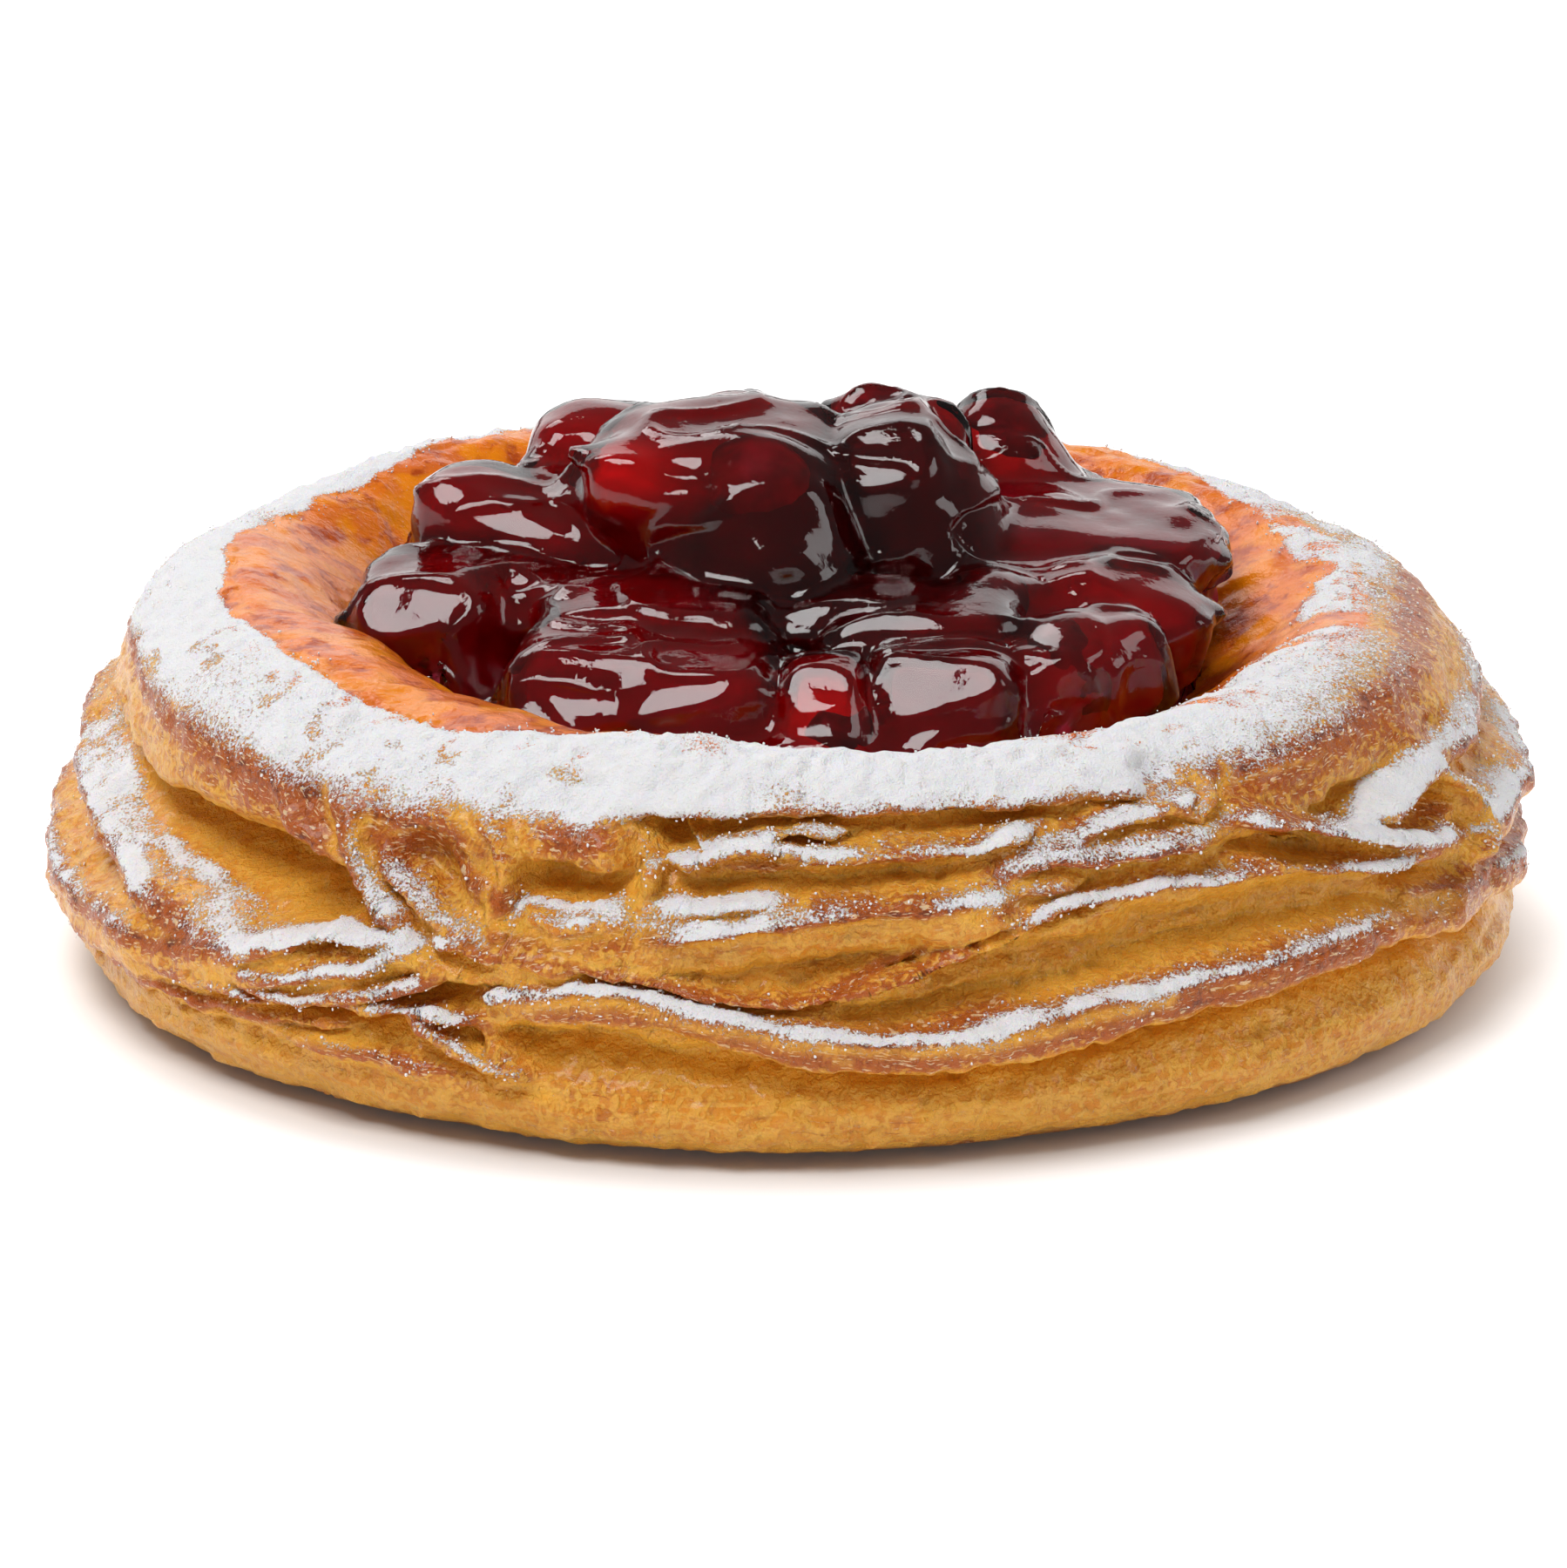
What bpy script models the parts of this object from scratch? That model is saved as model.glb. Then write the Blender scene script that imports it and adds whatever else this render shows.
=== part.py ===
"""Cherry Danish: a round of laminated pastry with a sugared rim and a bowl of cherries in jelly.

The frame is in metres with +Z up. The origin is on the table under the middle of the round,
and the side that shows most is at -Y. Angles about the round are in degrees, 0 at the front
(-Y), positive towards +X. Sizes below are in millimetres and turned to metres by MM.
"""

import math
from collections import namedtuple

import bmesh
import bpy
import numpy as np
from mathutils import Matrix, Vector

MM = 0.001
GAP = 0.3  # clearance between pieces that touch

# Driving sizes of the round
RIM_RADIUS = 43.6
RIM_HEIGHT = 29.2
FLOOR_RADIUS = 19.0
FLOOR_HEIGHT = 17.0
PLEAT_HEIGHT = 0.8
BASE_RADIUS = 50.5

# Columns round the pastry, rows from the edge of its base over the rim to the floor of the
# bowl, and the share of their triangles that is kept
PASTRY_COLUMNS = 220
PASTRY_ROWS = 92
PASTRY_KEPT = 0.143
DENSE_ROWS = 420

# Section of the round without its ribbons: base, side, rim, and slope of the bowl, as (radius, height)
SECTION = [
    (BASE_RADIUS, 0.0), (52.6, 0.5), (54.2, 2.2), (54.6, 5.0), (54.0, 9.0), (53.0, 13.0),
    (51.4, 17.0), (49.8, 20.5), (48.8, 23.4), (48.2, 25.7), (47.2, 27.4), (45.7, 28.7),
    (RIM_RADIUS, RIM_HEIGHT), (41.4, 28.7), (38.6, 26.8), (35.4, 24.4), (31.8, 21.9),
    (28.0, 19.7), (24.6, 18.0), (21.6, 17.2), (FLOOR_RADIUS, FLOOR_HEIGHT),
]

# A ribbon is one fold of dough that stands out of the side. heights are the heights of its
# crest at equal steps of angle from start to end. reach is how far it stands out, shelf the
# height over which its sugared top falls back, band the height of its browned edge, and
# under the height over which its pale underside falls back.
Ribbon = namedtuple("Ribbon", "start end heights reach shelf band under")
RIBBON_TAPER = 13.0  # degrees over which a ribbon runs out at each end
RING = 360.0

RIBBONS = [
    Ribbon(-180, 180, [4.4, 4.7, 4.2, 4.6, 4.3, 4.8, 4.3, 4.5], 2.2, 2.4, 2.2, 3.5),
    Ribbon(-31, 104, [11.2, 14.2, 11.5, 11.2, 13.6, 12.6, 11.4, 10.4], 4.4, 0.9, 1.7, 1.6),
    Ribbon(-158, -17, [9.6, 8.2, 7.9, 7.4, 7.9, 5.6], 3.8, 1.0, 1.3, 1.8),
    Ribbon(-142, 34, [13.6, 12.6, 12.2, 10.2, 11.4, 15.4, 18.6, 20.6, 18.6], 5.2, 2.2, 1.6, 3.0),
    Ribbon(-140, -50, [18.2, 20.0, 19.2, 15.0, 11.6], 4.8, 2.0, 1.2, 2.0),
    Ribbon(-4, 86, [12.6, 17.4, 19.5, 18.7, 15.8, 14.4], 3.9, 1.0, 1.4, 3.6),
    Ribbon(-30, 34, [22.4, 23.3, 23.4, 23.9], 2.8, 0.7, 1.3, 1.8),
    Ribbon(14, 84, [21.8, 21.9, 18.9, 16.6], 3.6, 1.3, 1.2, 1.8),
    Ribbon(-56, -20, [26.6, 22.6, 18.4, 13.0], 5.4, 1.1, 1.0, 1.5),
    Ribbon(-40, -14, [24.4, 20.4, 17.0], 4.8, 1.0, 1.0, 1.6),
    Ribbon(-116, -14, [25.6, 26.8, 25.8, 23.6, 22.2], 3.3, 3.0, 2.8, 6.5),
    Ribbon(-26, 40, [24.4, 25.4, 25.0, 24.6], 3.0, 2.2, 0.7, 1.0),
    Ribbon(34, 126, [25.0, 27.6, 28.0, 27.0], 3.6, 3.0, 3.0, 5.0),
    Ribbon(50, 132, [20.2, 22.2, 22.8, 21.6], 5.2, 2.4, 1.4, 3.6),
    Ribbon(62, 150, [15.0, 17.2, 16.8, 13.2], 6.2, 2.4, 1.8, 3.4),
    Ribbon(88, 214, [10.6, 9.6, 8.8, 10.2, 12.0, 11.0], 3.8, 1.2, 1.6, 2.2),
    Ribbon(118, 196, [18.4, 20.2, 17.6, 15.2], 4.6, 1.4, 1.6, 3.2),
    Ribbon(150, 244, [15.0, 14.6, 17.8, 18.4, 16.2], 4.4, 1.6, 1.6, 3.6),
    Ribbon(110, 262, [25.4, 26.8, 26.4, 27.8, 26.6, 25.4], 4.6, 2.6, 2.4, 4.6),
    Ribbon(168, 238, [23.2, 21.4, 22.6], 3.6, 1.0, 1.2, 2.6),
]

# Hollows between the folds: angle and height of the middle, half widths in degrees and in
# height, and depth
Hollow = namedtuple("Hollow", "angle height wide tall depth")
HOLLOWS = [
    Hollow(-50, 17.0, 18, 3.6, 3.4), Hollow(-13, 20.6, 7, 1.6, 2.2), Hollow(60, 20.0, 10, 1.8, 2.4),
    Hollow(26, 15.4, 20, 2.0, 1.2), Hollow(2, 16.0, 14, 1.8, 1.0), Hollow(142, 16.0, 20, 2.6, 2.6),
    Hollow(-160, 20.6, 22, 2.0, 2.4), Hollow(100, 13.0, 16, 1.4, 1.4),
]

# Cherries: name, place of the centre (x, y, z) and radius
Cherry = namedtuple("Cherry", "name x y z radius")
CHERRIES = [
    Cherry("front_1", -16.0, -20.4, 24.2, 5.4), Cherry("front_2", -5.6, -23.0, 24.2, 5.2),
    Cherry("front_3", 3.6, -24.4, 24.2, 4.6), Cherry("front_4", 12.4, -22.0, 24.4, 4.9),
    Cherry("front_5", 21.4, -16.6, 24.8, 5.3), Cherry("front_6", 7.2, -13.6, 27.2, 5.2),
    Cherry("front_7", 16.4, -10.4, 27.8, 5.0), Cherry("front_8", -10.6, -12.4, 27.4, 5.2),
    Cherry("left_1", -27.6, -7.0, 26.2, 6.0), Cherry("left_2", -22.0, 4.4, 31.0, 6.2),
    Cherry("right_1", 27.8, -3.8, 27.2, 5.8), Cherry("right_2", 20.6, 7.4, 30.4, 6.2),
    Cherry("right_3", 30.4, 6.8, 29.8, 4.8), Cherry("top_1", -11.4, 3.0, 35.6, 5.8),
    Cherry("top_2", -1.8, -1.6, 36.6, 6.6), Cherry("top_3", 8.0, 1.8, 36.6, 6.2),
    Cherry("top_4", 8.4, 12.4, 37.8, 5.5), Cherry("top_5", -4.6, 10.6, 37.4, 5.8),
    Cherry("back_1", -15.0, 13.2, 34.4, 5.4), Cherry("back_2", 17.6, 15.6, 35.6, 5.3),
    Cherry("back_3", -26.0, 16.0, 27.6, 5.4), Cherry("back_4", -12.4, 24.2, 28.6, 5.6),
    Cherry("back_5", 0.6, 22.6, 31.4, 5.8), Cherry("back_6", 12.8, 25.8, 27.6, 5.5),
    Cherry("back_7", 26.2, 17.2, 27.4, 5.4),
]
CHERRY_SEED = 7
CHERRY_SEGMENTS = 9
CHERRY_RINGS = 7
WALL_CLEARANCE = 0.4  # between a cherry and the bowl, over and above GAP

# Jelly between the cherries
JELLY_COLUMNS = 48
JELLY_ROWS = 12
JELLY_RADIUS = 33.6
JELLY_SKIRT = 2.2  # how far past a cherry the jelly climbs it
JELLY_BARE = 2.4  # how far the top of a cherry stands out of the jelly
JELLY_BLEND = 1.2  # height over which the jelly's mounds run together
JELLY_UNDERSIDE = 12.0  # height of the jelly blank's underside, under the floor of the bowl
JELLY_LEVEL = 27.6
JELLY_EDGE_DROP = 3.6  # fall of the level from the middle to the edge
MOUND_RISE = 6.0
WELL_DEPTH = 1.6  # depth of the dip in front of the mound


def smooth_step(value):
    """0 below 0, 1 above 1, and 3v^2 - 2v^3 between."""
    held = np.clip(value, 0.0, 1.0)
    return held * held * (3.0 - 2.0 * held)


def smooth_through(values, share, closed=False):
    """Cubic curve through values at equal steps, read at share from 0 to 1: each stretch
    leaves a value in the direction between its two neighbours (Catmull-Rom)."""
    values = np.asarray(values, float)
    count = len(values)
    stretches = count if closed else count - 1
    place = np.clip(np.asarray(share, float), 0.0, 1.0) * stretches
    first = np.minimum(place.astype(int), stretches - 1)
    t = place - first

    def value_at(index):
        return values[index % count] if closed else values[np.clip(index, 0, count - 1)]

    a, b, c, d = (value_at(first + step) for step in (-1, 0, 1, 2))
    return b + 0.5 * t * (c - a + t * (2 * a - 5 * b + 4 * c - d + t * (3 * (b - c) + d - a)))


def ribbon_relief(ribbon, angle, height):
    """How far a ribbon stands out at an angle and height. Above its crest it falls as
    exp(-(u/shelf)^2); below, it stays nearly full over the band, steps in, and then falls
    along a cosine over the underside."""
    span = ribbon.end - ribbon.start
    closed = span >= RING
    share = np.mod(angle - ribbon.start, RING) / span
    crest = smooth_through(ribbon.heights, share, closed)
    run = 1.0
    if not closed:
        run = smooth_step(share * span / RIBBON_TAPER) * smooth_step((1 - share) * span / RIBBON_TAPER)
    u = height - crest
    below = -u
    edge = 1.0 - 0.14 * np.square(np.clip(below / ribbon.band, 0, 1))
    step_in = 0.16 * smooth_step((below - ribbon.band) / 0.5)
    fall = 0.5 + 0.5 * np.cos(math.pi * np.clip((below - ribbon.band) / ribbon.under, 0, 1))
    shape = np.where(u > 0, np.exp(-np.square(u / ribbon.shelf)), (edge - step_in) * fall)
    return ribbon.reach * run * np.maximum(shape, 0.0)


def side_relief(angle, height):
    """All ribbons together, as an eighth-power mean, so that the furthest out leads and
    crossings stay soft, less the hollows between them."""
    total = sum(ribbon_relief(r, angle, height) ** 8 for r in RIBBONS)
    dents = 0.0
    for hollow in HOLLOWS:
        turn = np.mod(angle - hollow.angle + RING / 2, RING) - RING / 2
        spread = np.square(turn / hollow.wide) + np.square((height - hollow.height) / hollow.tall)
        dents = dents + hollow.depth * np.exp(-spread)
    return total ** 0.125 - dents


def rim_rise(angle):
    """How far the rim is above its mean: the round is lowest at the front, and uneven."""
    a = np.radians(angle)
    tilt = 1.0 - 1.9 * np.cos(a) - 1.1 * np.sin(a)
    return tilt + 0.35 * np.cos(5 * a + 1.0) + 0.25 * np.cos(9 * a + 2.2)


def round_scale(angle):
    """The outline is a little wider from left to right than from front to back."""
    a = np.radians(angle)
    oval = 1.006 - 0.015 * np.cos(2 * a) - 0.006 * np.cos(a) + 0.007 * np.sin(a)
    return oval + 0.006 * np.cos(3 * a + 0.8) + 0.004 * np.cos(7 * a)


def bowl_pleats(angle, radius):
    """Height of the radial pleats on the slope of the bowl, which fade at the rim and floor."""
    a = np.radians(angle)
    fade = smooth_step((radius - 27.0) / 5.0) * smooth_step((43.0 - radius) / 4.0)
    waves = 0.48 * np.cos(7 * a + 0.4) + 0.32 * np.cos(13 * a + 1.7) + 0.2 * np.cos(21 * a)
    return PLEAT_HEIGHT * fade * waves


def pastry_columns(angles, share):
    """Points (row, column) over the pastry: the section at each angle, with its ribbons, rim
    and pleats, read at equal shares of its own length, so that ledges get rows as well."""
    steps = np.linspace(0, 1, DENSE_ROWS)[:, None]
    radius = smooth_through([p[0] for p in SECTION], steps) * np.ones_like(angles)
    height = smooth_through([p[1] for p in SECTION], steps) * np.ones_like(angles)
    height = np.maximum(height, 0.0)
    inner = smooth_step((radius - 24.0) / 12.0)
    height = height + rim_rise(angles) * smooth_step((height - 6.0) / 20.0) * inner
    outer = smooth_step((radius - RIM_RADIUS - 0.5) / 4.0) * smooth_step((0.62 - steps) / 0.05)
    relief = side_relief(angles, height) * outer
    on_floor = smooth_step(height / 1.5)
    droop = 0.10 * relief * smooth_step((height - 4.0) / 4.0)
    radius = radius * (1 + (round_scale(angles) - 1) * smooth_step((radius - 20) / 20)) + relief * on_floor
    height = height - droop + bowl_pleats(angles, radius) * (steps > 0.5)
    length = np.hypot(np.diff(radius, axis=0), np.diff(height, axis=0))
    along = np.vstack([np.zeros((1, length.shape[1])), np.cumsum(length, axis=0)])
    along = along / along[-1]
    rows = [
        (np.interp(share, along[:, j], radius[:, j]), np.interp(share, along[:, j], height[:, j]))
        for j in range(along.shape[1])
    ]
    return np.stack([r for r, _ in rows], 1), np.stack([h for _, h in rows], 1)


def new_material(name, colour, roughness):
    material = bpy.data.materials.new(name)
    material.use_nodes = True
    shader = material.node_tree.nodes["Principled BSDF"]
    shader.inputs["Base Color"].default_value = (*colour, 1.0)
    shader.inputs["Roughness"].default_value = roughness
    shader.inputs["Metallic"].default_value = 0.0
    return material


def new_object(name, mesh, collection, material=None):
    thing = bpy.data.objects.new(name, mesh)
    collection.objects.link(thing)
    if material:
        mesh.materials.append(material)
    return thing


def turned_blank(name, rows, columns, collection):
    """A turned disc with a pole under the middle, one in the bowl, and rows between, made
    with a Screw modifier on a section that runs from the top pole down to the lower one."""
    section = bmesh.new()
    spots = [section.verts.new((0.0, 0.0, 2.0 * MM))]
    for row in range(rows):
        turn = math.pi * (row + 0.5) / rows
        spots.append(section.verts.new((math.sin(turn) * MM, 0.0, (1 + math.cos(turn)) * MM)))
    spots.append(section.verts.new((0.0, 0.0, 0.0)))
    for first, second in zip(spots, spots[1:]):
        section.edges.new((first, second))
    mesh = bpy.data.meshes.new(name)
    section.to_mesh(mesh)
    section.free()
    blank = new_object(name, mesh, collection)
    turn = blank.modifiers.new("turn", "SCREW")
    turn.steps = turn.render_steps = columns
    turn.use_merge_vertices = True
    turn.merge_threshold = 0.00001
    turned = bpy.data.meshes.new_from_object(
        blank.evaluated_get(bpy.context.evaluated_depsgraph_get())
    )
    bpy.data.objects.remove(blank)
    return turned


def rows_of(mesh, rows):
    """Each vertex's row on a turned blank (-1 at the upper pole, rows at the lower one) and its angle."""
    points = np.array([v.co for v in mesh.vertices])
    turn = np.arctan2(np.hypot(points[:, 0], points[:, 1]), points[:, 2] - MM)
    row = np.rint(turn / math.pi * rows - 0.5).astype(int)
    poles = np.hypot(points[:, 0], points[:, 1]) < 0.01 * MM
    row[poles] = np.where(points[poles, 2] > MM, -1, rows)
    return row, np.degrees(np.arctan2(points[:, 0], -points[:, 1]))


def placed(radius, angle, height):
    """Points in metres from radius, angle about the round and height in millimetres."""
    a = np.radians(angle)
    return np.stack([radius * np.sin(a), -radius * np.cos(a), height], -1) * MM


def thinned(thing, kept):
    """Thins the mesh to a share of its triangles, which stay where the surface bends most."""
    fewer = thing.modifiers.new("fewer", "DECIMATE")
    fewer.ratio = kept
    fewer.use_collapse_triangulate = True
    graph = bpy.context.evaluated_depsgraph_get()
    thin = bpy.data.meshes.new_from_object(thing.evaluated_get(graph))
    thing.modifiers.clear()
    thing.data = thin
    thin.shade_smooth()


def make_pastry(collection, material):
    """The whole pastry as one solid: a turned blank whose rows are laid along the true
    section at each column's angle, from the floor of the bowl to the edge of the base."""
    mesh = turned_blank("pastry", PASTRY_ROWS, PASTRY_COLUMNS, collection)
    row, angle = rows_of(mesh, PASTRY_ROWS)
    angles = np.unique(np.round(angle[(row >= 0) & (row < PASTRY_ROWS)], 4))
    radius, height = pastry_columns(angles, np.linspace(0, 1, PASTRY_ROWS))
    column = np.clip(np.searchsorted(angles, angle - 0.01), 0, len(angles) - 1)
    inside = np.clip(PASTRY_ROWS - 1 - row, 0, PASTRY_ROWS - 1)
    points = placed(radius[inside, column], angle, height[inside, column])
    points[row == -1] = (0.0, 0.0, FLOOR_HEIGHT * MM)
    points[row == PASTRY_ROWS] = 0.0
    mesh.vertices.foreach_set("co", points.ravel())
    mesh.update()
    pastry = new_object("pastry", mesh, collection, material)
    thinned(pastry, PASTRY_KEPT)
    return pastry


def cherry_shape(directions, seed):
    """Share of a cherry's radius along each direction from its centre: an uneven ball with a
    stem dimple at its pole and a shallow furrow down one side, never past 1."""
    rng = np.random.default_rng(seed)
    squash = rng.uniform(0.90, 1.0, 3) * (1.0, 1.0, 0.93)
    waves = rng.normal(size=(4, 3)) * 2.2
    shifts = rng.uniform(0, 2 * math.pi, 4)
    lumps = np.cos(directions @ waves.T + shifts).sum(axis=1) * 0.018
    pole = directions[:, 2]
    dimple = 0.16 * np.exp(-np.square((1.0 - pole) / 0.10))
    furrow = 0.05 * np.exp(-np.square(directions[:, 0] / 0.16)) * smooth_step(directions[:, 1] + 0.2)
    share = np.linalg.norm(directions * squash, axis=1) - dimple - furrow + lumps
    return np.minimum(share - 0.03, 1.0)


def turned_about(vectors, seed):
    """Vectors turned by a fixed random rotation (the Q of a random matrix)."""
    rng = np.random.default_rng(seed + 100)
    turn, _ = np.linalg.qr(rng.normal(size=(3, 3)))
    if np.linalg.det(turn) < 0:
        turn[:, 0] *= -1
    return vectors @ turn.T


def settled_cherries():
    """Places of the cherries after each has moved clear of its neighbours and of the bowl,
    whose wall is taken at the cherry's own angle."""
    places = np.array([(c.x, c.y, c.z) for c in CHERRIES])
    radii = np.array([c.radius for c in CHERRIES])
    need = radii[:, None] + radii[None, :] + GAP
    rows = np.arange(len(radii))
    for _ in range(50):
        apart = places[:, None] - places[None, :]
        distance = np.linalg.norm(apart, axis=2) + np.eye(len(radii)) * 1000
        push = np.maximum(need - distance, 0.0) / distance * 0.3
        places = places + (apart * push[:, :, None]).sum(axis=1)
        out = np.hypot(places[:, 0], places[:, 1])
        angles = np.degrees(np.arctan2(places[:, 0], -places[:, 1]))
        wall = np.stack(pastry_columns(angles, np.linspace(0, 1, 160)), 2)
        off_wall = np.stack([out, places[:, 2]], 1)[None] - wall
        clear = np.linalg.norm(off_wall, axis=2)
        near = np.argmin(clear, axis=0)
        lift = np.maximum(radii + GAP + WALL_CLEARANCE - clear[near, rows], 0.0)
        away = off_wall[near, rows] / clear[near, rows][:, None] * lift[:, None]
        places[:, :2] *= (1 + away[:, 0] / out)[:, None]
        places[:, 2] += away[:, 1]
    return places


def make_cherry(name, place, radius, seed, collection, material, grown=0.0):
    """One cherry: a UV sphere whose vertices are drawn to the cherry's uneven shape. grown
    makes it larger all round, for cutting its pocket in the jelly."""
    ball = bmesh.new()
    bmesh.ops.create_uvsphere(
        ball, u_segments=CHERRY_SEGMENTS, v_segments=CHERRY_RINGS, radius=1.0
    )
    mesh = bpy.data.meshes.new(name)
    ball.to_mesh(mesh)
    ball.free()
    directions = np.array([v.co.normalized() for v in mesh.vertices])
    reach = radius * cherry_shape(directions, seed) + grown
    points = (turned_about(directions, seed) * reach[:, None] + place) * MM
    mesh.vertices.foreach_set("co", points.ravel())
    mesh.update()
    mesh.shade_smooth()
    return new_object(name, mesh, collection, material)


def jelly_top(angle, share, cherries):
    """Radius and height of the jelly's upper surface: a mound that climbs each cherry, has a
    dip in front of its middle, and turns down to the slope of the bowl at its edge."""
    a = np.radians(angle)
    edge = JELLY_RADIUS + 0.9 * np.cos(3 * a + 0.6) + 0.6 * np.cos(5 * a + 2.0)
    radius = edge * share
    x, y = radius * np.sin(a), -radius * np.cos(a)
    mound = MOUND_RISE * np.exp(-((x / 15.0) ** 2 + ((y - 8.0) / 10.0) ** 2))
    dip = WELL_DEPTH * np.exp(-((x - 4.0) ** 2 + (y + 6.0) ** 2) / 40.0)
    level = JELLY_LEVEL + 0.05 * y + mound - dip - JELLY_EDGE_DROP * share ** 4
    climbs = [np.exp((level - RIM_HEIGHT) / JELLY_BLEND)]
    for (cx, cy, cz), ball in cherries:
        skirt = ball + JELLY_SKIRT
        rise = skirt ** 2 - (x - cx) ** 2 - (y - cy) ** 2
        top = cz + np.sqrt(np.maximum(rise, 0.0)) - JELLY_SKIRT - JELLY_BARE
        climbs.append(np.where(rise > 0, np.exp((top - RIM_HEIGHT) / JELLY_BLEND), 0.0))
    height = RIM_HEIGHT + JELLY_BLEND * np.log(sum(climbs))
    turn_down = 1.0 - np.sqrt(np.clip(1.0 - share ** 8, 0.0, 1.0))
    return radius, height + (FLOOR_HEIGHT + 3.0 - height) * turn_down


def make_jelly(cherries, collection, material):
    """The jelly blank: a turned disc whose upper rows follow the jelly's surface and whose
    last row goes straight down, past the floor of the bowl."""
    rows = JELLY_ROWS + 1
    mesh = turned_blank("jelly", rows, JELLY_COLUMNS, collection)
    row, angle = rows_of(mesh, rows)
    share = np.clip((row + 1) / JELLY_ROWS, 0, 1)
    share = 1.0 - (1.0 - share) ** 1.25
    radius, height = jelly_top(angle, share, cherries)
    lowest = row >= JELLY_ROWS
    height = np.where(lowest, JELLY_UNDERSIDE, height)
    radius = np.where(row == rows, 0.0, radius)
    points = placed(radius, angle, height)
    mesh.vertices.foreach_set("co", points.ravel())
    mesh.update()
    mesh.shade_smooth()
    return new_object("jelly", mesh, collection, material)


def cut_away(thing, cutter):
    """Takes cutter's solid out of thing, with both meshes closed."""
    cut = thing.modifiers.new("cut", "BOOLEAN")
    cut.operation = "DIFFERENCE"
    cut.solver = "MANIFOLD"
    cut.object = cutter
    cutter.hide_render = True
    cutter.display_type = "WIRE"
    graph = bpy.context.evaluated_depsgraph_get()
    carved = bpy.data.meshes.new_from_object(thing.evaluated_get(graph))
    thing.modifiers.clear()
    thing.data = carved


def largest_piece(thing):
    """Drops the loose scraps that cutting leaves, and keeps the largest connected piece.
    Faces count as connected across an edge that only the two of them share."""
    mesh = bmesh.new()
    mesh.from_mesh(thing.data)
    bmesh.ops.triangulate(mesh, faces=mesh.faces)
    bmesh.ops.dissolve_degenerate(mesh, dist=0.002 * MM, edges=mesh.edges)
    unseen = set(mesh.faces)
    pieces = []
    while unseen:
        edge = [unseen.pop()]
        piece = list(edge)
        while edge:
            face = edge.pop()
            shared = [e for e in face.edges if len(e.link_faces) == 2]
            near = {other for e in shared for other in e.link_faces} & unseen
            unseen -= near
            edge.extend(near)
            piece.extend(near)
        pieces.append(piece)
    pieces.sort(key=len, reverse=True)
    scraps = [face for piece in pieces[1:] for face in piece]
    bmesh.ops.delete(mesh, geom=scraps, context="FACES")
    mesh.to_mesh(thing.data)
    mesh.free()


def centre_on_origin(collection, pastry):
    """Moves every piece together so that the pastry's box has its middle on the Z axis."""
    corners = [Vector(corner) for corner in pastry.bound_box]
    middle = (corners[0] + corners[6]) / 2
    for thing in collection.objects:
        thing.data.transform(Matrix.Translation((-middle.x, -middle.y, 0.0)))


def main():
    for old in list(bpy.data.objects):
        bpy.data.objects.remove(old)
    model = bpy.data.collections.new("cherry_danish")
    cutters = bpy.data.collections.new("cutters")
    for collection in (model, cutters):
        bpy.context.scene.collection.children.link(collection)

    crust = new_material("baked_crust", (0.72, 0.42, 0.17), 0.65)
    skin = new_material("cherry_skin", (0.16, 0.008, 0.015), 0.25)
    gel = new_material("cherry_jelly", (0.22, 0.006, 0.016), 0.08)

    places = settled_cherries()
    radii = [cherry.radius for cherry in CHERRIES]
    pastry = make_pastry(model, crust)
    jelly = make_jelly(list(zip(places, radii)), model, gel)

    bowl = new_object("bowl_cutter", pastry.data.copy(), cutters)
    bowl.location.z = GAP * MM
    bpy.context.view_layer.update()
    cut_away(jelly, bowl)

    for number, (cherry, place) in enumerate(zip(CHERRIES, places)):
        seed = CHERRY_SEED + number
        make_cherry("cherry_" + cherry.name, place, cherry.radius, seed, model, skin)
        pocket = make_cherry("pocket_" + cherry.name, place, cherry.radius, seed, cutters, None, GAP)
        bpy.context.view_layer.update()
        cut_away(jelly, pocket)
    largest_piece(jelly)
    centre_on_origin(model, pastry)


main()
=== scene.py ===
"""The cherry Danish as it looks: baked and sugared pastry, glazed bowl, cherries in red jelly.

Angles about the round are in degrees, 0 at the front (-Y), positive towards +X. Sizes are in
millimetres and turned to metres by MM.
"""
import math
from collections import namedtuple

import bpy
import numpy as np
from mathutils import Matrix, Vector


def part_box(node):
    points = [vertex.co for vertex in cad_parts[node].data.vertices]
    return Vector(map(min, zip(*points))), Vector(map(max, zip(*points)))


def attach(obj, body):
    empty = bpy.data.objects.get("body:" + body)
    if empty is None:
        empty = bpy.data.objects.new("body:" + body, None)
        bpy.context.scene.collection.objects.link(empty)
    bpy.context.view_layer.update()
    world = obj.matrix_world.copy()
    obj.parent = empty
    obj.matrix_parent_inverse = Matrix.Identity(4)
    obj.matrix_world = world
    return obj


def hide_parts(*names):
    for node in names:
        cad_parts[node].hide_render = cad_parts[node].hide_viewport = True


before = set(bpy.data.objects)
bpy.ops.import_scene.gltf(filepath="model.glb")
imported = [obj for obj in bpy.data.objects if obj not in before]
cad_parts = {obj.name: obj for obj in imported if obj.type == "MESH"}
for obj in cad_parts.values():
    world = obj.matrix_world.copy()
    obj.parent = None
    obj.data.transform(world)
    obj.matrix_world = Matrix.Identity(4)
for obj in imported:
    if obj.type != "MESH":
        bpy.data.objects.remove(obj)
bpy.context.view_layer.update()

MM = 0.001
SEED = 11
RING = 360.0

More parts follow.
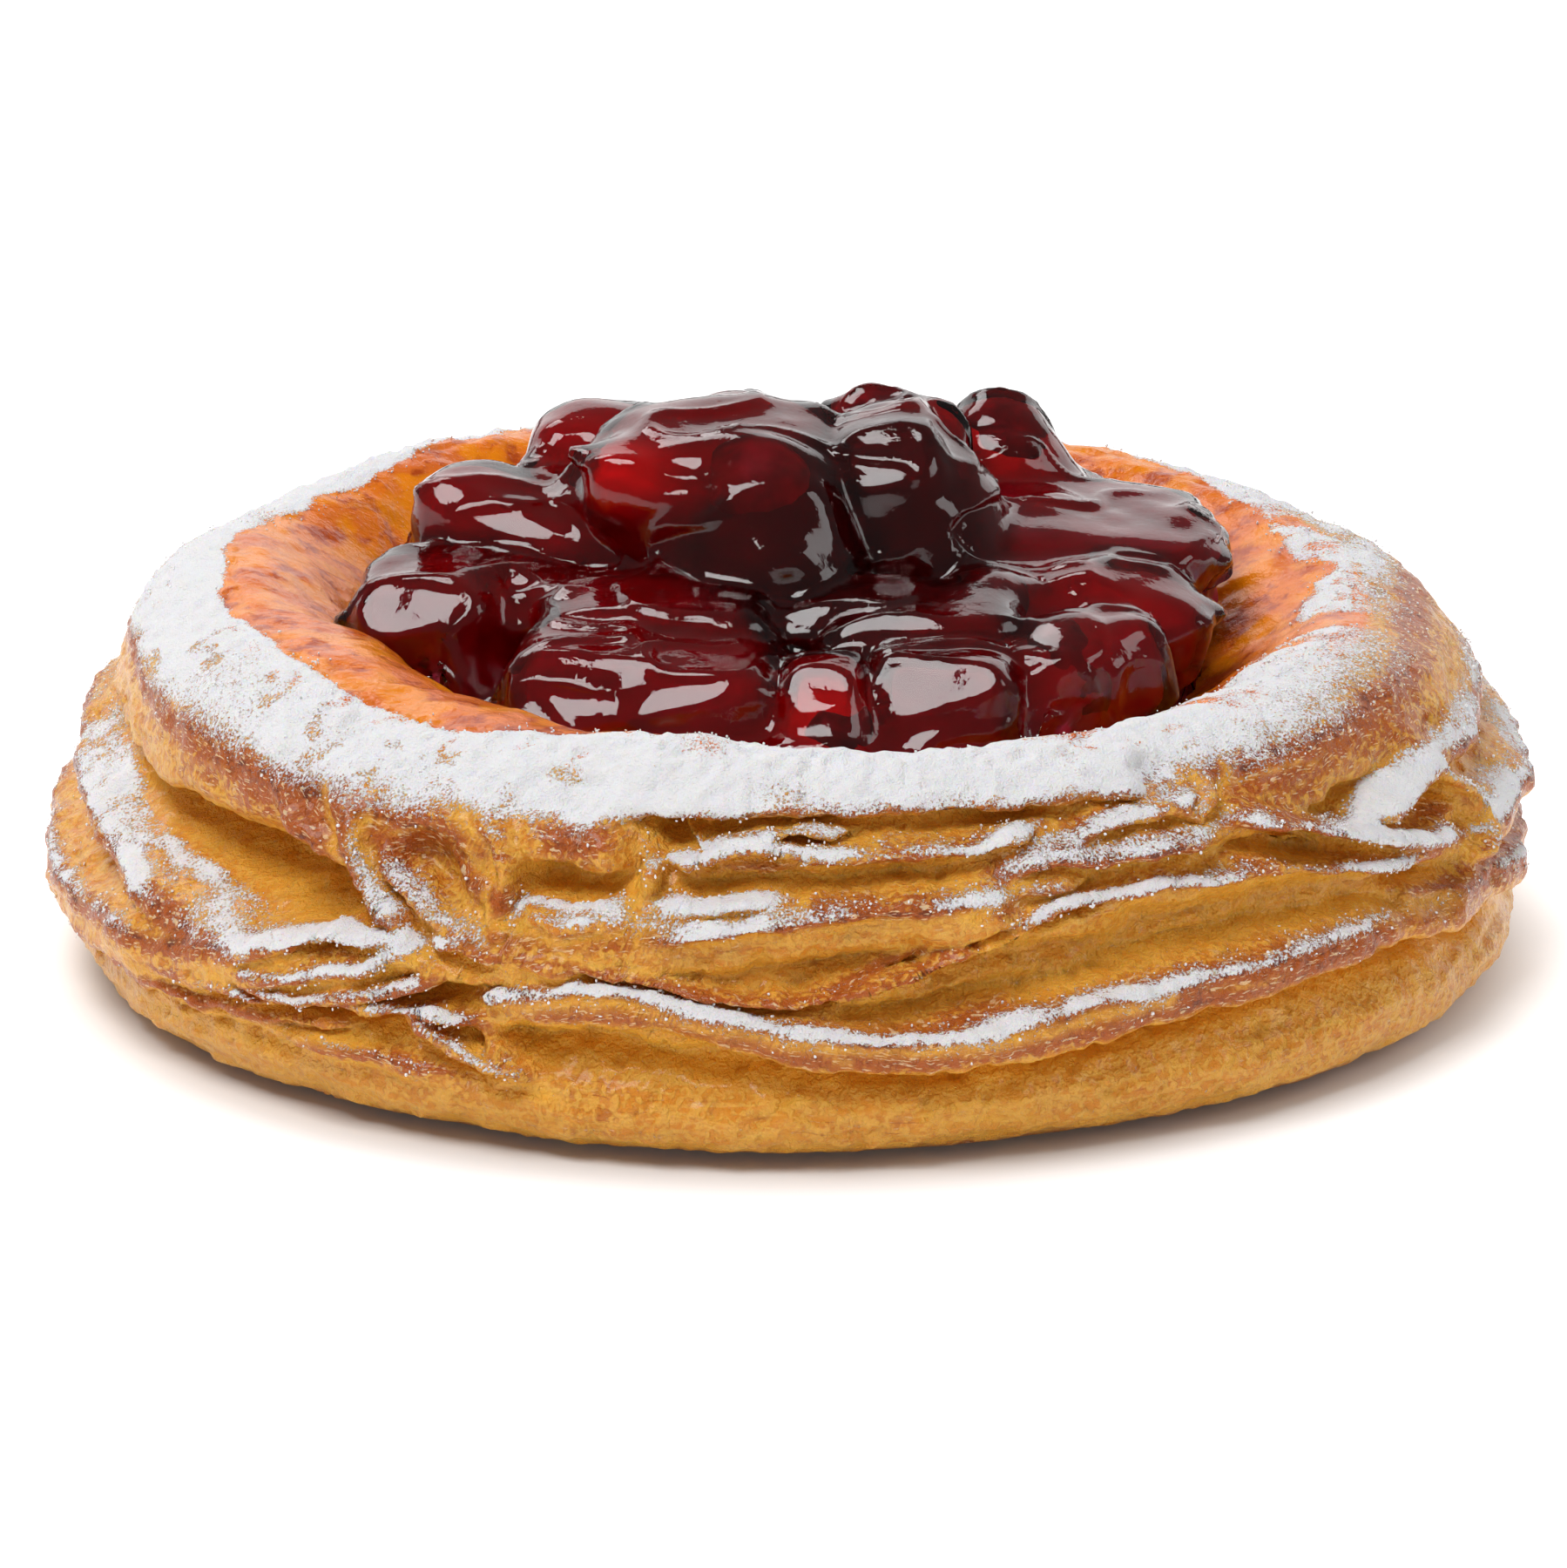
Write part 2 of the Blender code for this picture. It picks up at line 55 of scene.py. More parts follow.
# Driving sizes of the round
RIM_RADIUS = 43.6
RIM_HEIGHT = 29.2
FLOOR_RADIUS = 19.0
FLOOR_HEIGHT = 17.0
BASE_RADIUS = 50.5
PLEAT_HEIGHT = 0.6
FLAP_HEIGHT = 1.1
FLAPS = [(-98, 1.6), (-46, -1.2), (-140, 0.8), (62, 1.4), (104, -1.0), (158, 0.6)]  # angle, lean per mm
GLAZED_SWELL = 3.2

# Section of the round without its ribbons: base, side, rim, and slope of the bowl, as (radius, height)
SECTION = [
    (BASE_RADIUS, 0.0), (52.6, 0.5), (54.2, 2.2), (54.6, 5.0), (54.0, 9.0), (53.0, 13.0),
    (51.4, 17.0), (49.8, 20.5), (48.8, 23.4), (48.2, 25.7), (47.2, 27.4), (45.7, 28.7),
    (RIM_RADIUS, RIM_HEIGHT), (41.4, 28.7), (38.6, 26.8), (35.4, 24.4), (31.8, 21.9),
    (28.0, 19.7), (24.6, 18.0), (21.6, 17.2), (FLOOR_RADIUS, FLOOR_HEIGHT),
]
RIM_PLACE = 12  # which of them is the rim's crest
RIM_SHARE = RIM_PLACE / (len(SECTION) - 1)

# Layers of the side besides its relief: browning, sugar on flat places, specks of sugar, how deep
# in a crease, which paints the creases paler, partly as light painted over their shade, and height
# over the crest of the fold that leads
BROWN, POWDER, SPECKS, CREASE, OVER = range(5)

# Folds of dough that stand out of the side. heights are the heights of the crest at equal
# steps of angle from start to end; reach, how far it stands out; shelf, the height over
# which its sugared top falls back; band, the height of its browned edge; under, the height
# over which its pale underside falls back; dust, how much sugar lies on it, and back, the
# height above its crest that the sugar reaches
Ribbon = namedtuple("Ribbon", "start end heights reach shelf band under dust back")
RIBBON_TAPER = 13.0
UNDERCUT = 0.28  # share of a ribbon's reach that is lost right under its band
LEDGE_SHARE = 0.5  # share of a ribbon's reach that is its narrow ledge; the rest slopes back
SLOPE_HEIGHT = 3.4
LEADING = 12  # power of the mean that lets the furthest ribbon lead
RIBBONS = [Ribbon(*row) for row in (
    (-180, 180, [4.4, 4.7, 4.2, 4.6, 4.3, 4.8, 4.3, 4.5], 2.2, 2.4, 2.2, 3.5, 0.1, 1),
    (-31, 104, [11.2, 14.2, 10.8, 12, 13.6, 12.6, 11.4, 10.4], 4.4, 0.9, 2.5, 1.6, 0.7, 0.24),
    (-158, -17, [9.6, 8.2, 7.9, 7.4, 7.9, 5.6], 3.8, 1, 1.3, 1.8, 0.7, 0.6),
    (-142, 34, [13.6, 12.6, 12.2, 10.2, 11.4, 15.4, 18.6, 20.2, 18.6],
     4.9, 1.6, 3.2, 2.2, 0.6, 0.6),
    (-140, -36, [18.2, 20, 19.6, 16.6, 13.2, 11.8], 4.8, 2, 1.2, 2, 0.62, 4),
    (-4, 86, [12.6, 17.4, 19.5, 18.7, 15.8, 14.4], 3.9, 1, 1.6, 4, 0.85, 0.5),
    (-14, 34, [22.4, 22.9, 23.2, 23.6], 2.8, 0.7, 1.3, 1.8, 0.5, 0.4),
    (14, 84, [21.8, 21.9, 18.9, 16.6], 3.6, 1.3, 1.2, 1.8, 0.6, 0.7),
    (-56, -20, [26.6, 22.6, 18.4, 13], 5.4, 1.1, 1, 1.5, 0.15, 0.5),
    (-40, -14, [24.4, 20.4, 17], 4.4, 1, 1, 1.6, 0.15, 0.5),
    (-116, -14, [25.6, 26.8, 25.6, 23.8, 22.4], 3.6, 3, 5, 2.6, 0.22, 1.5),
    (-22, 42, [25.4, 25.9, 25.8, 25.4], 3, 2, 0.3, 0.7, 0.7, 3),
    (34, 126, [25, 27.4, 27.8, 27], 3.6, 3, 4.4, 2.4, 0.22, 1.5),
    (50, 132, [20.2, 22.2, 22.8, 21.6], 5.2, 2.4, 1.4, 3.6, 0.6, 2.6),
    (62, 150, [15, 17.2, 16.8, 13.2], 6.2, 2.4, 1.8, 3.4, 0.55, 1.8),
    (88, 214, [10.6, 9.6, 8.8, 10.2, 12, 11], 3.8, 1.2, 1.6, 2.2, 0.8, 1.4),
    (118, 196, [18.4, 20.2, 17.6, 15.2], 4.6, 1.4, 1.6, 3.2, 0.8, 1.6),
    (150, 244, [15, 14.6, 17.8, 18.4, 16.2], 4.4, 1.6, 1.6, 3.6, 0.8, 1.8),
    (110, 262, [25.4, 26.8, 26.4, 27.8, 26.6, 25.4], 4.6, 2.6, 2.4, 4.6, 0.5, 3),
    (168, 238, [23.2, 21.4, 22.6], 3.6, 1, 1.2, 2.6, 0.8, 1.4),
)]

# Places on the side, each with its spread in degrees and in millimetres, and how much
Patch = namedtuple("Patch", "angle height wide tall much")

# Hollows between the folds, with steep walls: much is their depth
HOLLOWS = [Patch(*row) for row in (
    (-50, 17, 18, 3.6, 3.2), (60, 20, 10, 1.8, 2), (26, 15.4, 20, 1.8, 1), (2, 16.4, 14, 1.6, 0.8),
    (142, 16, 20, 2.6, 2.6), (-160, 20.6, 22, 2, 2.4), (100, 13, 16, 1.4, 1.4),
    (-30.3, 20, 3.6, 2.4, 2.4), (-28.9, 12.4, 4, 1.1, 2.4), (34, 25.9, 2.6, 1, 2.4),
    (-9.5, 23.8, 1.3, 0.9, 1.8), (47.2, 18.6, 5, 0.9, 1.8), (14, 12.2, 4, 0.8, 1.2),
)]

# Patches that the oven has browned more
TOASTS = [Patch(*row) for row in (
    (-17.3, 24.1, 2.6, 0.9, 1.2), (-7.9, 17.6, 5, 0.7, 1), (-18.8, 12.2, 3.4, 0.8, 0.9),
    (-3, 11.2, 6, 0.8, 0.9), (21, 21.8, 4.4, 1, 1), (28.6, 22.6, 5, 1.2, 1.3),
    (3.8, 20.2, 4, 0.8, 0.6), (-58, 24.6, 13, 2.6, 0.55), (-43, 22.4, 10, 2.8, 0.6),
    (-31, 22, 6, 2.2, 0.9), (46, 24.6, 6, 2.4, 0.6), (60, 24.6, 12, 2.4, 0.6),
    (-25, 10.4, 3, 1, 0.8), (100, 24, 14, 2, 0.6), (160, 25, 16, 2, 0.7), (-130, 24, 16, 2, 0.6),
    (27, 10.9, 22, 1.4, 1), (52, 12.2, 16, 1.4, 1), (80, 10.6, 16, 1.4, 0.6),
    (-12, 12.8, 9, 1.2, 1), (-44, 6.8, 20, 1, 0.6), (6, 9.7, 12, 1.2, 0.9),
)]

# Flakes: edges of thin layers on the faces of the folds
FLAKE_HEIGHT = 2.1
FLAKE_DEPTH = 0.42

# Strands and grooves are lines on the side, with paths as (angle, height). Their heights are
# as seen on an upright wall SIDE_RADIUS out
SIDE_RADIUS = 56.0
MM_PER_DEGREE = math.radians(SIDE_RADIUS)
SIGHT_SLOPE = 0.305  # fall of the line of sight on the side, per millimetre outwards
WALL_HEIGHTS = [0.0, 5.0, 13.0, 20.5, 25.7, 28.7]
WALL_RADII = [52.6, 54.6, 53.0, 49.8, 48.2, 45.7]  # of the side at those heights
LINE_TAPER = 4.0
LINE_EDGE = 3.2  # power of its profile: the higher, the steeper its sides

# Thin strands and edges of dough over the folds: path, half width, how far it stands out of
# the section, sugar, browning, and how sharp the side on the path's right is, which is the
# lower one where the path starts at the left
Strand = namedtuple("Strand", "path wide reach dust bake sharp")
STRANDS = [Strand(*row) for row in (
    ([(-41, 26.9), (-37.9, 23.4), (-36.3, 20.4), (-33.4, 17.5), (-29.8, 15.1)],
     1, 5.4, 0.42, 0.8, 0.9),
    ([(-35.7, 23.1), (-33.3, 20.2), (-27.8, 17.4), (-23.3, 17)], 0.8, 4.9, 0.3, 0.3, 0.6),
    ([(-27, 26.1), (-23.7, 24.4), (-22.8, 21.4), (-23, 18.7), (-21.4, 16.2)],
     0.9, 5.3, 0.5, 0.5, 0.9),
    ([(-12.6, 25.4), (-10.9, 23), (-11.4, 19.4)], 0.6, 5, 0.5, 0.2, 0.9),
    ([(-9.8, 25.7), (-6.5, 24.9), (-3.3, 25.5), (1.1, 26.2), (6.9, 25.5)],
     0.45, 3.4, 0.9, 0.2, 0.5),
    ([(22.4, 23.7), (26.7, 24.6), (32.9, 24.9), (37.9, 26)], 0.7, 4.2, 0.6, 0.8, 0.5),
    ([(-10.9, 22.9), (-8.5, 23.2), (-5.9, 24.3), (-2.7, 25), (1.2, 24.2), (6.3, 23.9), (12.8, 24),
     (18.2, 24.4), (22.4, 25.2)], 0.5, 4.4, 0.9, 0.4, 0.5),
    ([(16, 21.6), (21.7, 22.8), (26, 22.3), (29.8, 22), (38, 22.3)], 0.9, 5, 0.5, 1, 0.5),
    ([(-22.6, 19.3), (-17.2, 17.9), (-11.8, 19.2)], 1, 5.4, 1, 0.2, 0.4),
    ([(-11.1, 19.8), (-5, 20.2), (0.6, 20.9)], 0.55, 5.2, 1, 0.2, 0.4),
    ([(-10.8, 17.8), (-6.6, 18), (-2.7, 18.7), (2.4, 19.5), (6.3, 20), (10.2, 19.6), (14.8, 20.1)],
     0.6, 5.8, 0.55, 0.9, 0.4),
    ([(-29.5, 15.1), (-24.2, 15.6), (-20.7, 15.4), (-15, 14.2)], 0.6, 5.4, 0.6, 0.7, 0.45),
    ([(-20, 15.5), (-15, 15), (-10, 14.3), (-6, 13.5), (-3, 13), (0.5, 12.9), (6.2, 13.9),
     (12.6, 15.6), (17, 17), (21, 18.3)], 0.45, 4.5, 0.05, 0.55, 0.5),
    ([(-24.6, 11.6), (-20, 12.7), (-15.8, 13.8), (-11.8, 13.6), (-6.6, 12.4), (-1.4, 11.2),
     (2.5, 10.8), (7, 10.2), (12.9, 10.2), (18.3, 10.8), (22.6, 11.4), (29.2, 11.6)],
     0.32, 4.7, 0.9, 0.9, 0.6),
    ([(-47, 10.2), (-43.4, 12.3), (-36.8, 14.5), (-30.3, 15)], 0.7, 5.4, 0.75, 0.5, 0.4),
    ([(-47, 10.2), (-41.5, 10.2), (-33.5, 12.2), (-29.5, 14.7)], 0.6, 5.2, 0.75, 0.7, 0.4),
    ([(-46.5, 9.2), (-38.7, 9), (-31.9, 10.7), (-25.7, 13.2)], 0.45, 5.2, 0.4, 1, 0.5),
    ([(-58, 7.8), (-43.4, 8.4), (-30.5, 10.1), (-22.4, 9.8)], 0.6, 4.6, 0.8, 0.6, 0.4),
    ([(-76, 6.1), (-62.1, 6.3), (-50.8, 6.6), (-32.9, 8)], 0.6, 3.9, 0.5, 0.5, 0.4),
    ([(-31.6, 10.4), (-25, 7.5), (-18.6, 5.2)], 0.9, 4.2, 1, 0.5, 0.5),
    ([(-25, 10.6), (-19.6, 6.3)], 0.8, 3.4, 0.3, 0.2, 0.9),
    ([(30.4, 25.6), (36.2, 24.4), (40.4, 27)], 0.6, 4, 0.3, 0.2, 0.6),
    ([(38, 23.2), (44.8, 21.7), (51.6, 19.2), (60.3, 16.4), (66, 16.3)], 0.9, 5.8, 1, 0.6, 0.4),
    ([(39, 19.9), (51, 16.8), (63.6, 15.2)], 0.6, 4.9, 0.9, 0.3, 0.4),
    ([(16, 17.6), (22.4, 19), (26.8, 19.4), (33.9, 19.2), (42.6, 18.7), (53.5, 16.3), (63, 15.2)],
     0.6, 4.8, 1, 0.6, 0.5),
    ([(-24.4, 23.6), (-17.2, 24.2), (-11.4, 23.8)], 2.2, 4.6, 0.25, 0.1, 0.7),
    ([(64, 22), (70, 18.4), (71, 14.6), (66, 12.6)], 0.8, 5.8, 0.5, 0.1, 0.6),
    ([(53, 19.8), (60, 20.9), (68, 22.4)], 1.5, 5.6, 0.8, 0.4, 0.5),
)]

# Grooves between folds: path, half width, depth, and how sharp the side on the path's right
# is, which is the upper one where the path starts at the right
Groove = namedtuple("Groove", "path wide depth sharp")
GROOVE_REACH = 3.0  # about how far the dough beside a groove stands out of the section
GROOVES = [Groove(*row) for row in (
    ([(-36, 16.4), (-43, 17.4), (-50, 17.6), (-58, 19.4), (-74, 20.8)], 2.6, 3.4, 0.3),
    ([(26, 20.6), (21.7, 19.6), (15.5, 17.5), (10.2, 15.9), (3.7, 14.4), (-0.1, 13.8), (-4, 13.9),
     (-10.5, 14.9), (-18, 15.8)], 0.8, 2.4, 0.4),
    ([(74, 7.6), (48.4, 10.1), (37, 9.2), (26.2, 8), (12.6, 7.4), (6.2, 7.5), (-0.1, 8.2),
     (-8.3, 8.4), (-16, 9), (-23, 8.8)], 1.1, 1.5, 0.4),
    ([(66, 15.4), (60.3, 15.3), (51.6, 18.1), (44.8, 20.6), (38, 22.1)], 0.9, 1.9, 0.4),
    ([(-22, 8.9), (-30.5, 9.2), (-43.4, 7.5), (-58, 6.8)], 0.8, 1.5, 0.4),
    ([(40, 20.4), (29.7, 20.7), (24.4, 20.4), (17, 20.6)], 0.7, 1.2, 0.4),
    ([(24, 26.6), (13, 26.4), (4, 26.8), (-3.4, 26.6), (-14, 26.2)], 1, 1.3, 0.4),
    ([(64, 24.2), (56, 22.8), (48, 21.9), (41, 22.2)], 1.3, 2.2, 0.35),
    ([(-26, 14.2), (-32.8, 10.4), (-40.5, 9.2), (-47, 9.8)], 0.7, 1.4, 0.4),
    ([(64, 12.2), (50, 14.8), (38, 15), (26, 14), (16, 12.4)], 1, 1.3, 0.4),
    ([(-22, 14.6), (-30, 16.6), (-34, 18.6)], 0.8, 1.6, 0.6),
    ([(-22.6, 20.9), (-17.2, 19.9), (-11.8, 20.7)], 2.2, 2.2, 0.4),
    ([(-9.6, 21.7), (-4, 21.6), (2, 22.2), (12, 22.2), (16, 23)], 0.8, 1.6, 0.5),
    ([(21, 13.9), (14.9, 13.4), (10.3, 12.3), (6.3, 11.8), (1.8, 12.3)], 0.8, 1.6, 0.5),
)]

# Radius of the sugar's inner edge, and height of its lower edge on the rim, every 20 degrees
# from the back round by the left
SUGAR_EDGE = [46.0, 46.0, 44.6, 42.6, 44.6, 44.8, 44.4, 44.4, 42.0,
              40.4, 39.6, 36.5, 37.2, 40.2, 42.0, 44.0, 46.0, 46.0]
SUGAR_FOOT = [25.0, 25.0, 26.0, 26.6, 26.8, 26.4, 25.6, 24.4, 24.6,
              25.7, 25.6, 25.4, 27.2, 28.2, 28.0, 27.0, 26.0, 25.0]
RIM_ROWS = 26  # rows of the side, next to the rim's crest, that the inner edge can reach

COLUMNS = 760
FRONT_SHARE = 0.34  # how much closer the columns are at the front
SIDE_ROWS = 122
BOWL_ROWS = 84
DENSE_ROWS = 500

# Grains of sugar that lie apart from the rest
GRAIN_COUNT = 7000
GRAIN_SIZE = (0.05, 0.15)  # half widths

# Cherries in their nodes' order: place in the bowl, and how many
CHERRY_GROUPS = [("front", 8), ("left", 2), ("right", 3), ("top", 5), ("back", 7)]
CHERRY_SEED = 7
CHERRY_COLUMNS = 48
CHERRY_ROWS = 30

# Jelly over and between the cherries
JELLY_COAT = 1.2  # thickness over a cherry
COAT_INSET = 0.35  # how far the coat stays inside the cherry's outline, where blending swells it
JELLY_SKIRT = 2.2  # how far past a cherry the jelly climbs it
JELLY_BARE = 3.0  # how far a cherry's coat stands out of the jelly between
JELLY_BLEND = 0.75
JELLY_VOXEL = 0.40
JELLY_LEVEL = 27.6
JELLY_EDGE_DROP = 3.6
MOUND_RISE = 6.0
WELL_DEPTH = 0.2
JELLY_DEEP = 1.0  # how far the jelly's underside reaches into the crust
PULP_UNDER = 1.6  # how far the pulp lies under the skin of the jelly
PULP_VOXEL = 0.6

# How the jelly's skin is drawn from its blank
DRAWN_ROUNDS = 5
EVENING = 0.6  # share of the way to the mean of its neighbours that a point goes in a round
SLOPE_STEP = 0.05  # length over which the slope of the distance is taken
LONGEST_STEP = 0.8

# Radius of the jelly's edge, every 30 degrees from the back round by the left
JELLY_EDGE = [33.6, 33.8, 34.0, 32.6, 28.4, 30.8, 33.6, 29.8, 29.2, 31.4, 33.8, 34.0]

# Lumps of fruit run together under the jelly: middle, half width, depth and height, then how
# far each is turned about the upright, leant forwards and rolled to the right, and how square
# it is (2 is an egg). Past cut it is sliced flat across LIGHT_FACE, the way that a face looks
# which shows the lamp
Lump = namedtuple("Lump", "x y z wide deep tall turn lean roll square cut", defaults=[99.0])
LIGHT_FACE = (-0.166, -0.743, 0.649)
LUMPS = [Lump(*row) for row in (
    (-5, 0.8, 36.6, 9.5, 8.6, 6.4, 0, 12, -2, 3.4, 8.3),
    (-13.2, -3.2, 38.4, 2.6, 3.6, 3.2, 0, 0, 0, 2.8),
    (-15.6, -2.6, 40.4, 1.7, 1.2, 0.7, 0, 0, 20, 2),
    (8.8, 1.2, 36.8, 4.8, 6.8, 6.5, 0, 0, -14, 3.2, 6.5),
    (11.6, 10, 38.4, 3.2, 3.2, 3.8, 0, 0, 0, 2.3), (17, 16, 35.6, 3.6, 3.6, 3.8, 0, 0, 4, 3),
    (16.4, 16.2, 39.2, 0.8, 0.8, 1.2, 0, 0, 0, 2), (17.5, 14, 32.2, 7.2, 6.2, 3, 0, 0, 8, 2.8),
    (23.6, 6.4, 31.8, 10.2, 8.6, 2.5, 0, 5, 5, 5), (32.6, 3.4, 31.2, 3, 1.8, 0.8, -24, 0, 12, 2.4),
    (17.4, -5.4, 29.2, 8.2, 7.4, 2.5, 0, 16, -3, 4.4),
    (26.6, -7.2, 28, 6.6, 4.2, 4, 0, 8, 14, 3.6, 4.5), (32.2, -6.2, 28.8, 2.4, 1.4, 1, 0, 0, 6, 2),
    (22, -17, 25.6, 8.2, 3.8, 4.6, 31, 0, -15, 4, 5.2),
    (10.8, -13.4, 28, 7.4, 5, 4.2, 0, 8, -5, 4.4, 5.3),
    (12, -21.8, 25, 5.4, 5.2, 5, 0, -4, 2, 4.8, 5.1),
    (2.8, -23.6, 25, 3.2, 4.4, 4.8, 0, -4, 0, 3.6, 4.5),
    (-10.8, -20.4, 25.4, 10.2, 7, 5, 0, 6, 2, 5, 6),
    (-10.2, -12.6, 28.8, 8.8, 5.8, 3.6, 0, 8, -4, 4.4, 4.9),
    (-9.6, -6.8, 29.6, 8, 4, 2.6, 0, 6, -5, 3.4),
    (-28.4, -6.8, 28.4, 5.6, 6.4, 4.4, 0, 8, 0, 3.8, 5.5),
    (-32.8, -8.2, 28.6, 2.6, 1.9, 1.1, 0, 0, -6, 2),
    (-19.2, -6, 28.8, 5.4, 5.4, 3.6, 0, 10, 18, 3.4, 4.4),
    (-21.4, 1.4, 33.2, 8.4, 4.4, 3.4, -22, 4, 16, 3.6, 4.2),
    (-25.6, 3.6, 34.4, 3.2, 3.4, 2.8, 0, 0, 0, 2.8), (-16.6, 12.2, 36.4, 4.2, 4.4, 4.2, 0, 0, 0, 3),
    (-13.4, 14, 38.4, 5.2, 3, 2.2, 0, 0, 4, 2.8), (-17, 6.4, 33.4, 5.2, 6.2, 3.2, 0, 10, 20, 3.2),
    (3.6, -10.6, 28.4, 8.6, 4.6, 2.7, 0, -6, -4, 2.6), (5.4, -8.4, 31, 6, 1.1, 0.9, -6, 0, -8, 2.2),
    (1.6, -11.8, 30.8, 5, 0.9, 0.7, 8, 0, 6, 2.2),
    (8.4, -10.6, 30.8, 4.2, 0.8, 0.7, -12, 0, -14, 2.2),
)]

# Where the pulp is painted brighter (positive), as light shining through thin jelly and in part the
# fruit's own brighter flesh, and where it is painted darker (negative), as shade deep in the jelly:
# place, width, how much
PulpLightAndShade = namedtuple("PulpLightAndShade", "x y z wide much")
PULP_LIGHT_BETWEEN = 0.35  # brightness away from all of them
PULP_LIGHT_AND_SHADE = [PulpLightAndShade(*row) for row in (
    (-13.5, -4, 39.5, 3.6, 0.55), (16.8, 15, 37, 5, 0.6), (-16.6, 10.5, 37, 4.5, 0.5),
    (2.6, -25.5, 25, 3.4, 0.9), (27, -8.5, 28.5, 4.6, 0.35), (-26, 2.5, 34.8, 3.6, 0.3),
    (-6, -26, 23.5, 5, 0.2), (24, -18, 26, 4.6, 0.3), (-10, -6.5, 41, 4.6, 0.35),
    (5, -9, 31.5, 9, -0.6), (-1, -8.5, 35, 6, -0.5), (9, -4.5, 38, 6, -0.6),
)]

# Colours, as red, green and blue on a screen from 0 to 255
DOUGH = (221, 139, 37)
DOUGH_PALE = (246, 198, 92)
DOUGH_BROWN = (178, 88, 26)
DOUGH_DARK = (108, 46, 24)
# Inside the folds: partly the dough's own less baked colour, partly painted light over the recesses' shade
DOUGH_LESS_BAKED_AND_LIT = (240, 176, 60)
DOUGH_FLECK = (250, 222, 176)
GLAZE = (228, 118, 18)
GLAZE_ROSY = (214, 106, 34)
GLAZE_DEEP = (176, 70, 16)
AMBER = (238, 138, 4)
SUGAR = (233, 232, 234)
SUGAR_LIGHT = (250, 249, 248)
SKIN = (86, 8, 30)
SKIN_LIGHT = (140, 12, 46)
# Pulp: painted shade, its own red, and painted light together with the fruit's brighter flesh
PULP_PAINTED_SHADE = (62, 12, 22)
PULP = (150, 10, 52)
PULP_FLESH_AND_LIGHT = (238, 24, 54)
FLOOR = (214, 213, 213)

# The jelly's body: its colour per depth, how dense that is per metre, and how it bends light
JELLY_TINT = (0.93, 0.04, 0.20, 1.0)
JELLY_DENSITY = 1350.0
JELLY_IOR = 1.48

# The table: half its width in metres, and how far it lies under the part in millimetres
TABLE_HALF = 2.5
TABLE_GAP = 0.02
LAMP_AIM = (0, 0, 0.02)
ROOM_LIGHT = 0.16

# Camera: as many pixels to the millimetre as the photograph at the part's middle
PHOTO_WIDTH = 1799
PART_COLUMN = 902.0  # of the part's middle in the photograph
PIXELS_PER_MM = 14.25
VIEW_RISE = 17.0
VIEW_DISTANCE = 0.520
AIM_HEIGHT = 0.01284
SENSOR = 36.0


def smooth_step(value):
    """0 below 0, 1 above 1, and 3v^2 - 2v^3 between."""
    held = np.clip(value, 0.0, 1.0)
    return held * held * (3.0 - 2.0 * held)


def bell(value, wide):
    """1 at 0, falling to both sides as exp(-(value / wide)^2)."""
    return np.exp(-np.square(value / wide))


def turned(angle, middle):
    """How far an angle is from middle, from -180 to 180 degrees."""
    return np.mod(angle - middle + RING / 2, RING) - RING / 2


def bump(angle, middle, wide):
    """1 at an angle about the round, falling to 0 at wide degrees to its sides."""
    return smooth_step(1.6 * (1 - np.abs(turned(angle, middle)) / wide))


def smooth_through(values, share, closed=False):
    """Cubic curve through values at equal steps, read at share from 0 to 1: each stretch
    leaves a value in the direction between its two neighbours (Catmull-Rom)."""
    values = np.asarray(values, float)
    count = len(values)
    stretches = count if closed else count - 1
    place = np.clip(np.asarray(share, float), 0.0, 1.0) * stretches
    first = np.minimum(place.astype(int), stretches - 1)
    t = place - first

    def value_at(index):
        return values[index % count] if closed else values[np.clip(index, 0, count - 1)]

    a, b, c, d = (value_at(first + step) for step in (-1, 0, 1, 2))
    return b + 0.5 * t * (c - a + t * (2 * a - 5 * b + 4 * c - d + t * (3 * (b - c) + d - a)))


def smooth_round(values, angle):
    """Closed cubic curve through values at equal steps from the back round by the left."""
    return smooth_through(values, np.mod(angle + RING / 2, RING) / RING, closed=True)


def grain(points, size, seed):
    """Smooth noise from -1 to 1 with lumps of the given size: random values on a cubic
    lattice, blended with 3t^2 - 2t^3 along each axis."""
    table = np.random.default_rng(seed).uniform(-1, 1, 4096)
    place = np.asarray(points) / size
    cell = np.floor(place).astype(np.int64)
    t = place - cell
    t = t * t * (3 - 2 * t)
    total = 0.0
    for corner in range(8):
        step = np.array([corner & 1, corner >> 1 & 1, corner >> 2 & 1])
        x, y, z = np.moveaxis(cell + step, -1, 0)
        value = table[(x * 7919 + y * 104729 + z * 1299709) % 4096]
        weight = np.prod(np.where(step, t, 1 - t), axis=-1)
        total = total + value * weight
    return total


def rough(points, layers, start=0.0):
    """Start and several grains, each given by its height, the size of its lumps and its seed."""
    return sum((tall * grain(points, size, SEED + seed) for tall, size, seed in layers), start)


def layered_grain(points, size, seed, layers=3):
    """Noise on several scales, each half the size and half the height of the last."""
    return sum(grain(points, size / 2 ** k, SEED + seed + k) / 2 ** k for k in range(layers)) / 1.75


def around(angle, radius, height):
    """Points in millimetres from angle about the round, radius and height."""
    a = np.radians(angle)
    return np.stack([radius * np.sin(a), -radius * np.cos(a), height + 0 * a], -1)


